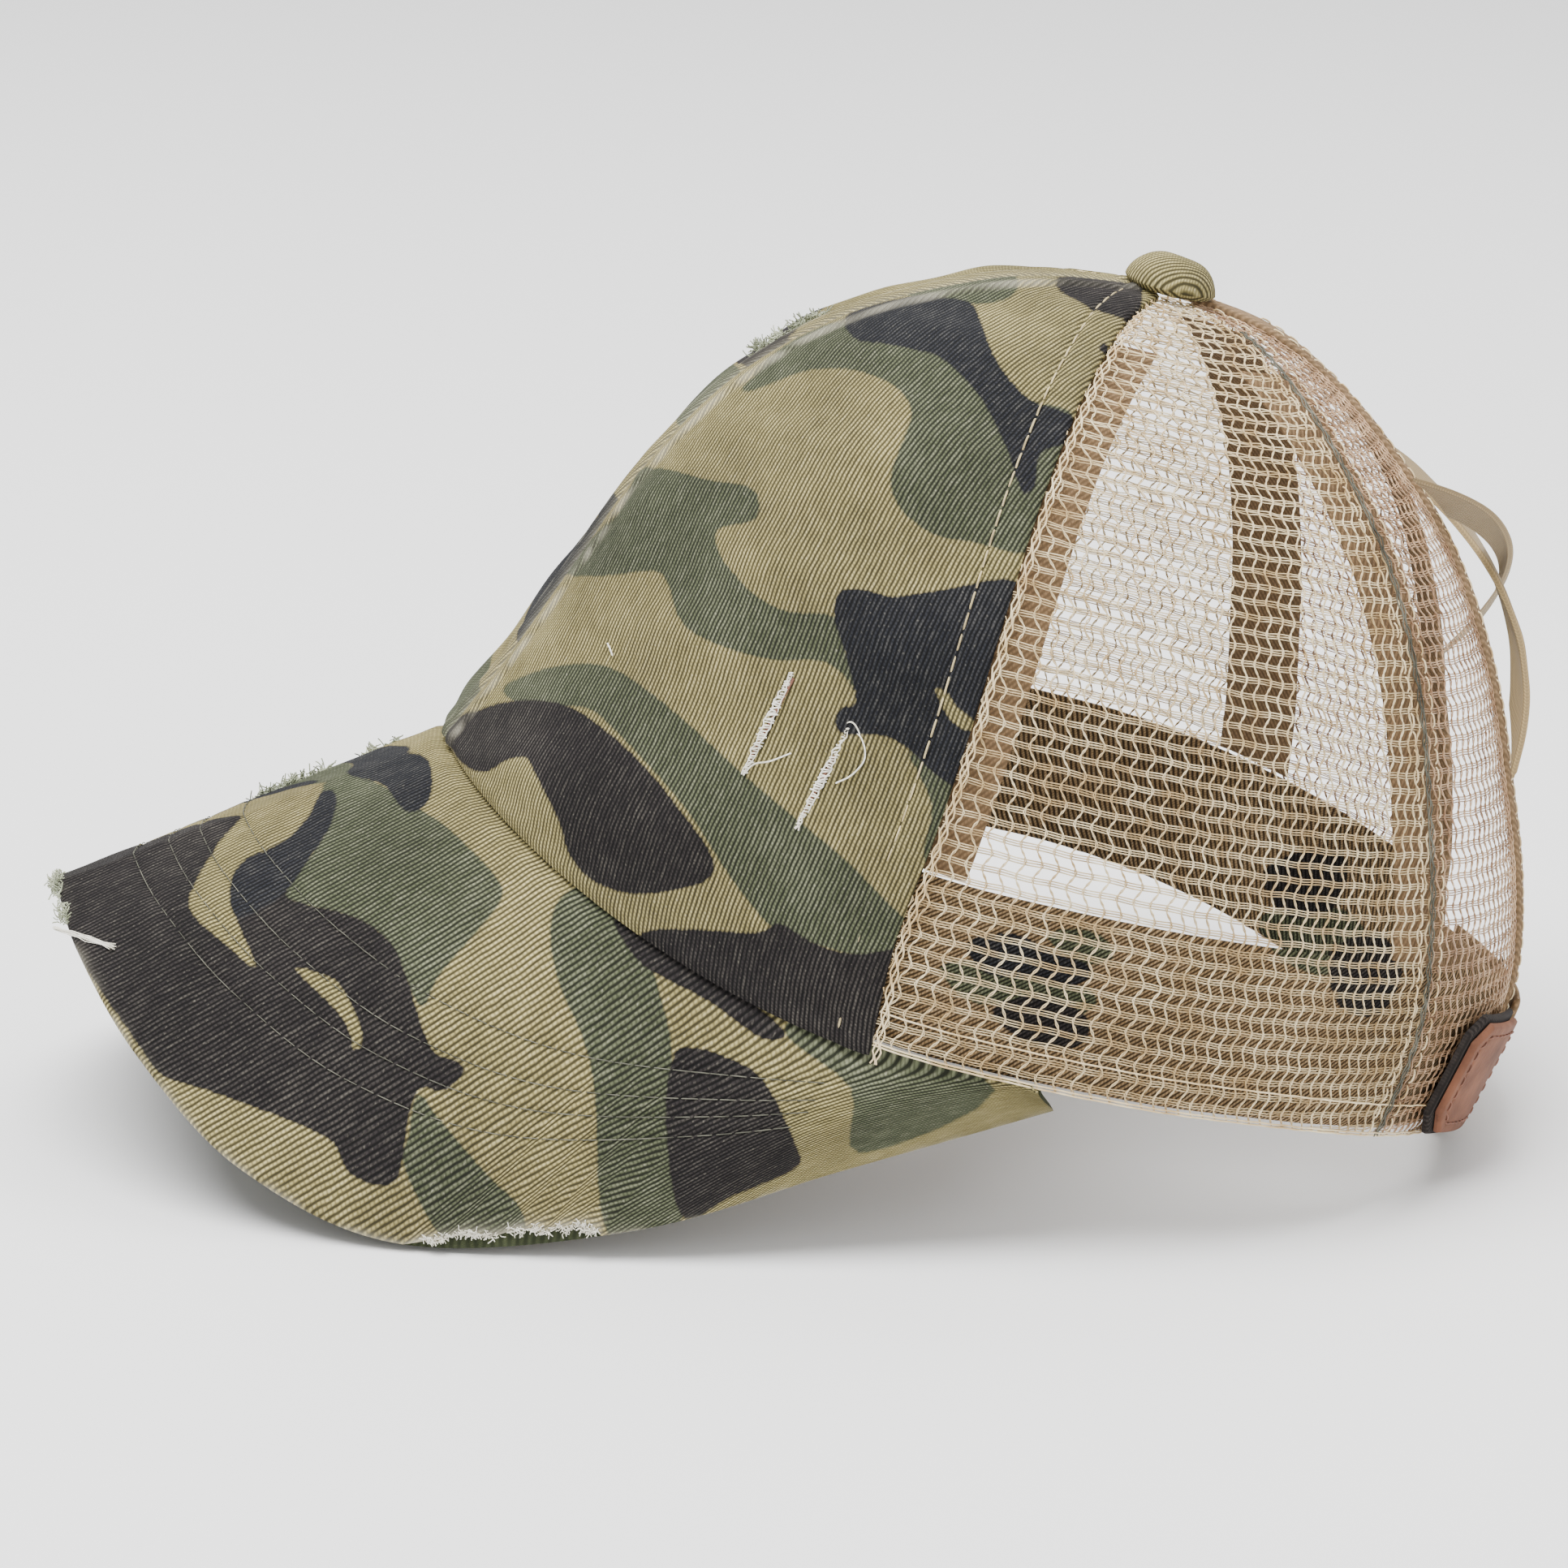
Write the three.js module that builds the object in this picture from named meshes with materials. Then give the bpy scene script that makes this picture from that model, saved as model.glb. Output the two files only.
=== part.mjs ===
// A ponytail baseball cap: camo twill front panels and brim, net sides and back, and a slit down the
// back closed by two crossed elastic bands and a hook and loop strap with a leather patch.
// Millimetres. The cap is drawn on its head line, the level ring that the hem lies near: the front is
// at -Y, the wearer's left is at +X and the top is at +Z. It is then tipped as it rests on a table.
import * as THREE from 'three';

// Crown
const FRONT_REACH = 112.5; // from the middle of the head line to the forehead
const BACK_REACH = 92;
const SIDE_REACH = 80.3;
const CROWN_HEIGHT = 126;
const TOP_LEAN = 8.6; // how far the top sits ahead of the middle
const FRONT_RISE = 19.7; // how far the hem rises over the forehead
const FRONT_RISE_END = 75; // degrees round from the front where that rise has run out
const NAPE_DROP = 9;
const NAPE_DROP_START = 100;
const FRONT_SEAM = 66.7; // degrees round from the front to the twill and net seam
const REAR_SEAM = 128;
const TWILL = 1.2; // wall of the front panels
const NET = 1.0;
const GAP = 0.3; // clearance between pieces that are sewn together
const LAYER_GAP = 0.6; // clearance between curved layers that lie on each other
const TOP_HOLE_ROW = 9.72; // table row at which the panels stop under the button

// Net
const SIDE_NET_GAPS = 6; // gaps across a side panel
const REAR_NET_GAPS = 3;
const NET_GAPS_UP = 6;
const NET_BAR_SHARE = 0.3; // solid share of one gap's pitch
const NET_TOP_SHARE = 0.84; // share of the panel's height with gaps in it

// Sweatband and seam tapes
const SWEATBAND_HEIGHT = 30;
const SWEATBAND = 1.6;
const SWEATBAND_LIFT = 1; // its edge above the hem
const TAPE_WIDTH = 15;
const TAPE = 1;
const TAPE_TOP_ROW = 8.1;

// Slit for the ponytail, its bindings and the two elastic bands
const SLIT_HALF_WIDTH = 23;
const SLIT_TOP = 0.93; // share of the crown's height
const SLIT_CURVE = 3.2;
const BINDING_WIDTH = 6;
const BINDING = 1.9;
const BINDING_PROUD = 0.7;
const BAND_WIDTH = 17;
const BAND = 1.3;
const BAND_TOP = 0.8; // share of the crown's height at a band's upper end
const BAND_FOOT = 0.5;
const OUTER_BAND_BULGE = 8.5;
const INNER_BAND_BULGE = 4;

// Closure strap, hook tape and leather patch
const STRAP_HEIGHT = 25;
const STRAP = 1.4;
const STRAP_SHORTFALL = 4; // how far its free end stays short of the other side
const HOOK_TAPE = 1.2;
const HOOK_BORDER = 1; // hook tape seen round the patch
const PATCH = 1.2;
const PATCH_WIDTH = 28;
const PATCH_HEIGHT = 22;
const PATCH_CLEARANCE = 0.7; // above the net
const PATCH_BESIDE = 1.2; // between the hook tape and the slit's binding

// Brim
const BRIM_REACH = 63; // tip ahead of the forehead
const BRIM_HALF_WIDTH = 80;
const BRIM_DROP = 50; // lowest point of its sides below the head line
const BRIM_TEMPLE = 82; // degrees round from the front to its ends
const BRIM_BOARD = 2.4;
const BRIM_LINING = 1;
const BRIM_END = 3; // width left at its ends
const BRIM_TUCK = 1.6; // how far its ends start below the hem

// Button
const BUTTON_RADIUS = 8.4;
const BUTTON_HEIGHT = 6.2;

// Upright sections of the crown, from under the hem to the top, as shares of its height and reaches
const CROWN_ROWS = [
  { up: -0.1, front: 1.03, back: 0.83, side: 1 },
  { up: 0, front: 1.03, back: 0.89, side: 1 },
  { up: 0.15, front: 1.03, back: 0.935, side: 0.98 },
  { up: 0.3, front: 0.955, back: 0.9, side: 0.938 },
  { up: 0.45, front: 0.88, back: 0.828, side: 0.884 },
  { up: 0.6, front: 0.8, back: 0.745, side: 0.808 },
  { up: 0.75, front: 0.68, back: 0.62, side: 0.68 },
  { up: 0.87, front: 0.515, back: 0.455, side: 0.505 },
  { up: 0.95, front: 0.327, back: 0.3, side: 0.31 },
  { up: 0.985, front: 0.185, back: 0.17, side: 0.175 },
  { up: 1, front: 0, back: 0, side: 0 },
];

// Outer edge of the brim from the tip to the temple, as shares of its half width, of its length from
// the temple and of its drop
const BRIM_ROWS = [
  { aside: 0, ahead: 1, drop: 0.4 },
  { aside: 0.25, ahead: 0.976, drop: 0.505 },
  { aside: 0.49, ahead: 0.906, drop: 0.712 },
  { aside: 0.7, ahead: 0.788, drop: 0.932 },
  { aside: 0.86, ahead: 0.62, drop: 1 },
  { aside: 0.957, ahead: 0.394, drop: 0.744 },
  { aside: 0.99, ahead: 0.2, drop: 0.38 },
  { aside: 1, ahead: 0, drop: 0.03 },
];

const camoTwill = new THREE.MeshStandardMaterial({ color: '#8a8561', roughness: 0.95 });
const oliveCloth = new THREE.MeshStandardMaterial({ color: '#47542f', roughness: 0.95 });
const tanNet = new THREE.MeshStandardMaterial({ color: '#c9b48c', roughness: 0.6 });
const tanCloth = new THREE.MeshStandardMaterial({ color: '#a98c68', roughness: 0.9 });
const tanElastic = new THREE.MeshStandardMaterial({ color: '#c2a67a', roughness: 0.85 });
const brownLeather = new THREE.MeshStandardMaterial({ color: '#8b5e49', roughness: 0.65 });
const blackHook = new THREE.MeshStandardMaterial({ color: '#2c2724', roughness: 0.9 });

const cap = new THREE.Group();
const radians = THREE.MathUtils.degToRad;
const mix = THREE.MathUtils.lerp;

// Value of a table's column at a row number that may lie between rows, on a smooth curve
function between(rows, column, at) {
  const last = rows.length - 1;
  const first = THREE.MathUtils.clamp(Math.floor(at), 0, last - 1);
  const value = (i) => {
    if (i < 0) return 2 * rows[0][column] - rows[1][column];
    if (i > last) return 2 * rows[last][column] - rows[last - 1][column];
    return rows[i][column];
  };
  const [a, b, c, d] = [-1, 0, 1, 2].map((i) => value(first + i));
  const t = at - first;
  return b + 0.5 * t * (c - a + t * (2 * a - 5 * b + 4 * c - d + t * (3 * (b - c) + d - a)));
}

function onCrown(turn, row) {
  const reach = Math.cos(turn) > 0
    ? FRONT_REACH * between(CROWN_ROWS, 'front', row)
    : BACK_REACH * between(CROWN_ROWS, 'back', row);
  const up = between(CROWN_ROWS, 'up', row);
  return new THREE.Vector3(
    SIDE_REACH * between(CROWN_ROWS, 'side', row) * Math.sin(turn),
    -reach * Math.cos(turn) - TOP_LEAN * up * up,
    CROWN_HEIGHT * up,
  );
}

// Directions on the crown: round it towards the back on the left, up it, and straight out of it
function directions(turn, row) {
  const step = 0.01;
  const around = onCrown(turn + step, row).sub(onCrown(turn - step, row)).divideScalar(2 * step);
  const upward = onCrown(turn, row + step).sub(onCrown(turn, row - step)).divideScalar(2 * step);
  const outward = around.clone().cross(upward).normalize();
  return { around, upward, outward };
}

function crownPoint(turn, row, depth = 0) {
  return onCrown(turn, row).addScaledVector(directions(turn, row).outward, -depth);
}

function rowAt(up) {
  let [low, high] = [0, CROWN_ROWS.length - 1];
  for (let i = 0; i < 30; i += 1) {
    const middle = (low + high) / 2;
    if (between(CROWN_ROWS, 'up', middle) < up) low = middle;
    else high = middle;
  }
  return low;
}

function hemRow(turn) {
  const degrees = Math.abs(THREE.MathUtils.radToDeg(turn));
  const front = 0.5 + 0.5 * Math.cos(Math.PI * Math.min(degrees / FRONT_RISE_END, 1));
  const nape = THREE.MathUtils.smoothstep(degrees, NAPE_DROP_START, 180);
  return rowAt((FRONT_RISE * front - NAPE_DROP * nape) / CROWN_HEIGHT);
}

// The turn that lies a distance round the crown from a seam
function beside(seam, row, distance) {
  return seam + distance / directions(seam, row).around.length();
}

// The row that lies a distance up the crown
function climb(turn, row, distance) {
  const steps = 6;
  let at = row;
  for (let i = 0; i < steps; i += 1) at += distance / steps / directions(turn, at).upward.length();
  return at;
}

function evenLines(count, from = 0, to = 1) {
  return Array.from({ length: count + 1 }, (_, i) => mix(from, to, i / count));
}

// Lines on both sides of each bar and gap of a net, the first and last being bars
function netLines(gaps, to = 1) {
  const pitch = to / (gaps + NET_BAR_SHARE);
  const starts = Array.from({ length: gaps + 1 }, (_, i) => i * pitch);
  return starts.flatMap((start) => [start, start + NET_BAR_SHARE * pitch]);
}

// A closed sheet between an outer face (side 0) and an inner face (side 1), given by place(u, v, side)
// on a grid of lines. Cells for which open(i, j) holds are cut through.
function addSheet(name, material, uLines, vLines, place, open = () => false) {
  const [across, up] = [uLines.length - 1, vLines.length - 1];
  const positions = [];
  for (const side of [0, 1]) {
    for (const u of uLines) {
      for (const v of vLines) positions.push(...place(u, v, side).toArray());
    }
  }
  const vertex = (i, j, side) => (side * (across + 1) + i) * (up + 1) + j;
  const solid = (i, j) => i >= 0 && j >= 0 && i < across && j < up && !open(i, j);
  const indices = [];
  const quad = (a, b, c, d) => indices.push(a, b, c, a, c, d);
  const wall = (i0, j0, i1, j1) => quad(
    vertex(i0, j0, 0), vertex(i0, j0, 1), vertex(i1, j1, 1), vertex(i1, j1, 0),
  );
  for (let i = 0; i < across; i += 1) {
    for (let j = 0; j < up; j += 1) {
      if (!solid(i, j)) continue;
      quad(vertex(i, j, 0), vertex(i + 1, j, 0), vertex(i + 1, j + 1, 0), vertex(i, j + 1, 0));
      quad(vertex(i, j, 1), vertex(i, j + 1, 1), vertex(i + 1, j + 1, 1), vertex(i + 1, j, 1));
      if (!solid(i, j - 1)) wall(i, j, i + 1, j);
      if (!solid(i + 1, j)) wall(i + 1, j, i + 1, j + 1);
      if (!solid(i, j + 1)) wall(i + 1, j + 1, i, j + 1);
      if (!solid(i - 1, j)) wall(i, j + 1, i, j);
    }
  }
  addMesh(name, material, positions, indices);
}

function addMesh(name, material, positions, indices) {
  const corner = (i) => new THREE.Vector3().fromArray(positions, 3 * indices[i]);
  let volume = 0;
  for (let i = 0; i < indices.length; i += 3) volume += corner(i).dot(corner(i + 1).cross(corner(i + 2)));
  const geometry = new THREE.BufferGeometry();
  geometry.setAttribute('position', new THREE.Float32BufferAttribute(positions, 3));
  geometry.setIndex(volume > 0 ? indices : indices.slice().reverse());
  geometry.computeVertexNormals();
  const mesh = new THREE.Mesh(geometry, material);
  mesh.name = name;
  cap.add(mesh);
}

const mirrored = (place) => (u, v, side) => place(u, v, side).multiply(new THREE.Vector3(-1, 1, 1));

function addPair(name, material, uLines, vLines, place, open) {
  addSheet(`${name}_left`, material, uLines, vLines, place, open);
  addSheet(`${name}_right`, material, uLines, vLines, mirrored(place), open);
}

// Half width of the slit, and width of its binding, at a row
function slitHalf(row) {
  const share = Math.max(between(CROWN_ROWS, 'up', row), 0) / SLIT_TOP;
  return SLIT_HALF_WIDTH * Math.max(1 - share ** SLIT_CURVE, 0);
}

function bindingWidth(row) {
  return Math.min(BINDING_WIDTH, 0.3 * directions(Math.PI, row).around.length());
}

// Turn at a distance to the left of the middle of the back
const fromBack = (row, distance) => beside(Math.PI, row, -distance);

const panelEdge = (row) => fromBack(row, slitHalf(row) + bindingWidth(row) + 1.5 * GAP);

// A panel between two edges that are given as turns for a row
function panel(fromSeam, toSeam, fromEdge, toEdge, thickness) {
  return (u, v, side) => {
    const row = mix(hemRow(mix(fromSeam, toSeam, u)), TOP_HOLE_ROW, v);
    return crownPoint(mix(fromEdge(row), toEdge(row), u), row, side * thickness);
  };
}

// Lines up a net panel: its bars and gaps, and plain net above them
const NET_ROWS = [...netLines(NET_GAPS_UP, NET_TOP_SHARE), mix(NET_TOP_SHARE, 1, 0.5), 1];

function addPanels() {
  const front = radians(FRONT_SEAM);
  const rear = radians(REAR_SEAM);
  const after = (seam) => (row) => beside(seam, row, GAP / 2);
  const before = (seam) => (row) => beside(seam, row, -GAP / 2);
  addPair('front_panel', camoTwill, evenLines(12), evenLines(16),
    panel(0, front, after(0), before(front), TWILL));
  const inGap = (i, j) => i % 2 === 1 && j % 2 === 1 && j < 2 * NET_GAPS_UP;
  addPair('side_mesh', tanNet, netLines(SIDE_NET_GAPS), NET_ROWS,
    panel(front, rear, after(front), before(rear), NET), inGap);
  addPair('rear_mesh', tanNet, netLines(REAR_NET_GAPS), NET_ROWS,
    panel(rear, Math.PI, after(rear), panelEdge, NET), inGap);
}

function addSweatband() {
  const depth = Math.max(TWILL, NET) + LAYER_GAP;
  const end = (row) => fromBack(row, SLIT_HALF_WIDTH + GAP / 2);
  addSheet('sweatband', tanCloth, evenLines(56), evenLines(3), (u, v, side) => {
    const turn = mix(-end(1), end(1), u);
    const row = climb(turn, hemRow(turn), SWEATBAND_LIFT + v * SWEATBAND_HEIGHT);
    return crownPoint(turn, row, depth + side * SWEATBAND);
  });
}

function addTape(name, seam) {
  const depth = Math.max(TWILL, NET) + LAYER_GAP;
  addSheet(name, tanCloth, evenLines(2), evenLines(10), (u, v, side) => {
    const distance = (u - 0.5) * TAPE_WIDTH;
    const low = beside(seam, hemRow(seam), distance);
    const foot = climb(low, hemRow(low), SWEATBAND_LIFT + SWEATBAND_HEIGHT + 2 * GAP);
    const row = mix(foot, TAPE_TOP_ROW, v);
    return crownPoint(beside(seam, row, distance), row, depth + side * TAPE);
  });
}

function addTapes() {
  addTape('front_seam_tape', 0);
  addTape('side_seam_tape_left', radians(FRONT_SEAM));
  addTape('side_seam_tape_right', -radians(FRONT_SEAM));
  addTape('rear_seam_tape_left', radians(REAR_SEAM));
  addTape('rear_seam_tape_right', -radians(REAR_SEAM));
}

function addBindings() {
  addPair('slit_binding', tanCloth, evenLines(2), NET_ROWS, (u, v, side) => {
    const row = mix(hemRow(Math.PI), TOP_HOLE_ROW, v);
    const distance = slitHalf(row) + GAP / 2 + u * bindingWidth(row);
    return crownPoint(fromBack(row, distance), row, side * BINDING - BINDING_PROUD);
  });
}

// An elastic band from the upper left of the slit to its lower right, standing off by a bulge. The
// band lies on the bindings at its ends.
function band(bulge) {
  const [topRow, footRow] = [rowAt(BAND_TOP), rowAt(BAND_FOOT)];
  const topX = slitHalf(topRow) + BINDING_WIDTH;
  const footX = slitHalf(footRow) + BINDING_WIDTH;
  const length = onCrown(Math.PI, topRow).distanceTo(onCrown(Math.PI, footRow));
  const slope = Math.atan2(length, topX + footX);
  return (u, v, side) => {
    const aside = (v - 0.5) * BAND_WIDTH;
    const distance = mix(topX, -footX, u) + aside * Math.sin(slope);
    const row = climb(Math.PI, mix(topRow, footRow, u), aside * Math.cos(slope));
    const lift = BINDING_PROUD + LAYER_GAP + bulge * Math.sin(Math.PI * u) + (1 - side) * BAND;
    return crownPoint(fromBack(row, distance), row, -lift);
  };
}

function addBands() {
  addSheet('cross_band_outer', tanElastic, evenLines(20), evenLines(2), band(OUTER_BAND_BULGE));
  addSheet('cross_band_inner', tanElastic, evenLines(20), evenLines(2), mirrored(band(INNER_BAND_BULGE)));
}

// The inner strap fills the slit at the hem in line with the sweatband. The outer one crosses the slit
// and lies over the left binding.
function addStraps() {
  const strap = (from, to, depth) => (u, v, side) => {
    const turn = fromBack(1, mix(from, to, u));
    const row = climb(turn, hemRow(turn), v * STRAP_HEIGHT);
    return crownPoint(turn, row, depth + side * STRAP);
  };
  const inner = Math.max(TWILL, NET) + LAYER_GAP;
  const innerEnd = SLIT_HALF_WIDTH - GAP;
  const outer = -BINDING_PROUD - LAYER_GAP - STRAP;
  const lapped = SLIT_HALF_WIDTH + BINDING_WIDTH;
  addSheet('closure_strap_inner', tanCloth, evenLines(8), evenLines(2), strap(innerEnd, -innerEnd, inner));
  addSheet('closure_strap_outer', tanCloth, evenLines(12), evenLines(2),
    strap(lapped, STRAP_SHORTFALL - SLIT_HALF_WIDTH, outer));
}

// A plate bent round the net beside the outer strap, in three flat faces
function bentPlate(width, height, clearance, thickness) {
  const aside = SLIT_HALF_WIDTH + BINDING_WIDTH + PATCH_BESIDE + HOOK_BORDER + PATCH_WIDTH / 2;
  const turn = fromBack(1, aside);
  const row = climb(turn, hemRow(turn), STRAP_HEIGHT / 2);
  const { around, upward, outward } = directions(turn, row);
  const rise = upward.normalize();
  const sideways = rise.clone().cross(outward);
  const bend = SIDE_REACH * SIDE_REACH / BACK_REACH;
  return (u, v, side) => {
    const angle = (u - 0.5) * width / bend;
    return onCrown(turn, row)
      .addScaledVector(outward, clearance + (1 - side) * thickness - bend * (1 - Math.cos(angle)))
      .addScaledVector(sideways, bend * Math.sin(angle) * Math.sign(sideways.dot(around)))
      .addScaledVector(rise, (v - 0.5) * height);
  };
}

function addPatch() {
  const border = 2 * HOOK_BORDER;
  addSheet('hook_tape', blackHook, evenLines(3), evenLines(1),
    bentPlate(PATCH_WIDTH + border, PATCH_HEIGHT + border, PATCH_CLEARANCE, HOOK_TAPE));
  addSheet('leather_patch', brownLeather, evenLines(3), evenLines(1),
    bentPlate(PATCH_WIDTH, PATCH_HEIGHT, PATCH_CLEARANCE + HOOK_TAPE + GAP, PATCH));
}

// The brim runs in straight lines from the hem to its outer edge
function brimPoint(u, v) {
  const turn = radians(BRIM_TEMPLE) * u;
  const root = crownPoint(turn, hemRow(turn), -GAP);
  root.z -= mix(GAP, BRIM_TUCK, Math.abs(u));
  const temple = onCrown(radians(BRIM_TEMPLE), hemRow(radians(BRIM_TEMPLE)));
  const row = Math.abs(u) * (BRIM_ROWS.length - 1);
  const ahead = between(BRIM_ROWS, 'ahead', row);
  const tip = -FRONT_REACH * CROWN_ROWS[2].front - BRIM_REACH;
  const aside = mix(temple.x, BRIM_HALF_WIDTH, Math.min(2 * ahead, 1)) * between(BRIM_ROWS, 'aside', row);
  const edge = new THREE.Vector3(
    Math.sign(u) * aside,
    mix(temple.y + BRIM_END, tip, ahead),
    -BRIM_DROP * between(BRIM_ROWS, 'drop', row) - BRIM_TUCK * (1 - ahead),
  );
  return root.lerp(edge, v);
}

function brimSheet(top, thickness) {
  const step = 0.01;
  return (u, v, side) => {
    const across = brimPoint(u + step, v).sub(brimPoint(u - step, v));
    const along = brimPoint(u, v + step).sub(brimPoint(u, v - step));
    const upward = along.cross(across).normalize();
    return brimPoint(u, v).addScaledVector(upward, -top - side * thickness);
  };
}

function addBrim() {
  const lines = evenLines(44, -1, 1);
  addSheet('brim_top', camoTwill, lines, evenLines(5), brimSheet(0, BRIM_BOARD));
  addSheet('brim_underside', oliveCloth, lines, evenLines(5), brimSheet(BRIM_BOARD + GAP, BRIM_LINING));
}

function addButton() {
  const profile = [new THREE.Vector2(0, 0), new THREE.Vector2(BUTTON_RADIUS * 0.9, 0)];
  for (const share of evenLines(6, 0.15, 1)) {
    const angle = share * Math.PI / 2;
    profile.push(new THREE.Vector2(BUTTON_RADIUS * Math.cos(angle), BUTTON_HEIGHT * Math.sin(angle)));
  }
  profile[profile.length - 1].x = 0;
  const geometry = new THREE.LatheGeometry(profile, 24).rotateX(Math.PI / 2);
  const mesh = new THREE.Mesh(geometry, camoTwill);
  mesh.name = 'button';
  mesh.position.copy(onCrown(0, CROWN_ROWS.length - 1)).z += GAP;
  cap.add(mesh);
}

addPanels();
addSweatband();
addTapes();
addBindings();
addBands();
addStraps();
addPatch();
addBrim();
addButton();

// Tip the cap about the side-to-side axis until the brim's sides and the nape stand on one level
function allPoints() {
  cap.updateMatrixWorld(true);
  return cap.children.flatMap((mesh) => {
    const position = mesh.geometry.getAttribute('position');
    return Array.from({ length: position.count }, (_, i) => (
      new THREE.Vector3().fromBufferAttribute(position, i).applyMatrix4(mesh.matrixWorld)
    ));
  });
}

function tipToRest() {
  const lowest = (points) => points.reduce((low, point) => (point.z < low.z ? point : low));
  for (let i = 0; i < 6; i += 1) {
    const points = allPoints();
    const front = lowest(points.filter((point) => point.y < 0));
    const back = lowest(points.filter((point) => point.y > 0));
    cap.rotation.x -= Math.atan2(back.z - front.z, back.y - front.y);
  }
}

tipToRest();
const part = new THREE.Group();
part.add(cap);
const bounds = new THREE.Box3().setFromPoints(allPoints());
const middle = bounds.getCenter(new THREE.Vector3());
cap.position.set(-middle.x, -middle.y, -bounds.min.z);

export default part;
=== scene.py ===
# A ponytail baseball cap in camouflage twill and tan net, dressed around its CAD model.
from math import cos, pi, radians, sin, sqrt

import bmesh
import bpy
import numpy as np
from mathutils import Matrix, Vector


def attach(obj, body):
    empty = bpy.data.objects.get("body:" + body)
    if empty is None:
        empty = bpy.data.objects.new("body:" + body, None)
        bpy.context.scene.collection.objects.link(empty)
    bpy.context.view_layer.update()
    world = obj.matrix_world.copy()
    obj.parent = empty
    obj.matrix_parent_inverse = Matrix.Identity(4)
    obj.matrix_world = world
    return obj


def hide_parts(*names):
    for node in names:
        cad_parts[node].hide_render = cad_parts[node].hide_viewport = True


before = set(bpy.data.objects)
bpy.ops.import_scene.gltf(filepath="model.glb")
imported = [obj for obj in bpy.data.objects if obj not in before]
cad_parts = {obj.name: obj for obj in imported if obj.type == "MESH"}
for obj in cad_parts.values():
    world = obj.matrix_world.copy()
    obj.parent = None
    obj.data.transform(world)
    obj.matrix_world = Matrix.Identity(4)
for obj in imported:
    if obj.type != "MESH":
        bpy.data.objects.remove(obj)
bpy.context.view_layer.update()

# The cap's own frame in millimetres: hem near z = 0, front at -Y, wearer's left at +X. It is tipped by
# TIP about the X axis and moved by SHIFT to rest on its brim and nape.
FRONT_REACH, BACK_REACH, SIDE_REACH, CROWN_HEIGHT = 112.5, 92.0, 80.3, 126.0
TOP_LEAN = 8.6
FRONT_RISE, FRONT_RISE_END = 19.7, radians(75)
NAPE_DROP, NAPE_DROP_START = 9.0, radians(100)
FRONT_SEAM, REAR_SEAM, BACK = radians(66.7), radians(128), pi
TOP_ROW = 9.72
GAP, LAYER_GAP = 0.3, 0.6
TIP = radians(-12.115)
SHIFT = np.array([0.0, 44.759, 26.871])

# Columns: up, front, back, side, as shares of the crown's height and reaches
CROWN_ROWS = np.array([
    (-0.1, 1.03, 0.83, 1), (0, 1.03, 0.89, 1), (0.15, 1.03, 0.935, 0.98), (0.3, 0.955, 0.9, 0.938),
    (0.45, 0.88, 0.828, 0.884), (0.6, 0.8, 0.745, 0.808), (0.75, 0.68, 0.62, 0.68),
    (0.87, 0.515, 0.455, 0.505), (0.95, 0.327, 0.3, 0.31), (0.985, 0.185, 0.17, 0.175), (1, 0, 0, 0)])
UP, FRONT, REAR, SIDE = range(4)

# Outer edge of the brim. Columns: aside, ahead, drop, as shares of its half width, length and drop
BRIM_ROWS = np.array([
    (0, 1, 0.4), (0.25, 0.976, 0.505), (0.49, 0.906, 0.712), (0.7, 0.788, 0.932), (0.86, 0.62, 1),
    (0.957, 0.394, 0.744), (0.99, 0.2, 0.38), (1, 0, 0.03)])
ASIDE, AHEAD, DROP = range(3)
BRIM_REACH, BRIM_HALF_WIDTH, BRIM_DROP, BRIM_TEMPLE = 63.0, 80.0, 50.0, radians(82)
BRIM_END, BRIM_TUCK = 3.0, 1.6

# The photograph's camera in the cap's frame: what it looks at, its distance and directions, and the
# pixels of a 1932 pixel frame that a millimetre takes at the target
PHOTO_SIZE = 1932
TARGET = np.array([61.0, -69.25, 40.0])
DISTANCE, PIXELS_PER_MM = 1000.0, 7.26
YAW, ELEVATION, ROLL = radians(14.0), radians(15.1), radians(14.6)


# Shape of the cap

def between(column, at):
    """Values of a table's column at row numbers, on a smooth curve through its rows."""
    last = len(column) - 1
    padded = np.concatenate([[2 * column[0] - column[1]], column, [2 * column[last] - column[last - 1]]])
    at = np.asarray(at, float)
    first = np.clip(np.floor(at).astype(int), 0, last - 1)
    a, b, c, d = (padded[first + k] for k in range(4))
    t = at - first
    return b + 0.5 * t * (c - a + t * (2 * a - 5 * b + 4 * c - d + t * (3 * (b - c) + d - a)))


def on_crown(turn, row):
    turn, row = np.broadcast_arrays(np.asarray(turn, float), np.asarray(row, float))
    reach = np.where(np.cos(turn) > 0, FRONT_REACH * between(CROWN_ROWS[:, FRONT], row),
                     BACK_REACH * between(CROWN_ROWS[:, REAR], row))
    up = between(CROWN_ROWS[:, UP], row)
    x = SIDE_REACH * between(CROWN_ROWS[:, SIDE], row) * np.sin(turn)
    return np.stack([x, -reach * np.cos(turn) - TOP_LEAN * up * up, CROWN_HEIGHT * up], -1)


def slopes(turn, row, step=0.01):
    around = (on_crown(turn + step, row) - on_crown(turn - step, row)) / (2 * step)
    upward = (on_crown(turn, row + step) - on_crown(turn, row - step)) / (2 * step)
    return around, upward


def unit(vectors):
    return vectors / np.maximum(np.linalg.norm(vectors, axis=-1, keepdims=True), 1e-9)


def crown(turn, row, lift=0.0):
    """Points on the crown, raised from its outer face by a lift."""
    around, upward = slopes(turn, row)
    return on_crown(turn, row) + unit(np.cross(around, upward)) * np.asarray(lift, float)[..., None]


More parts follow.
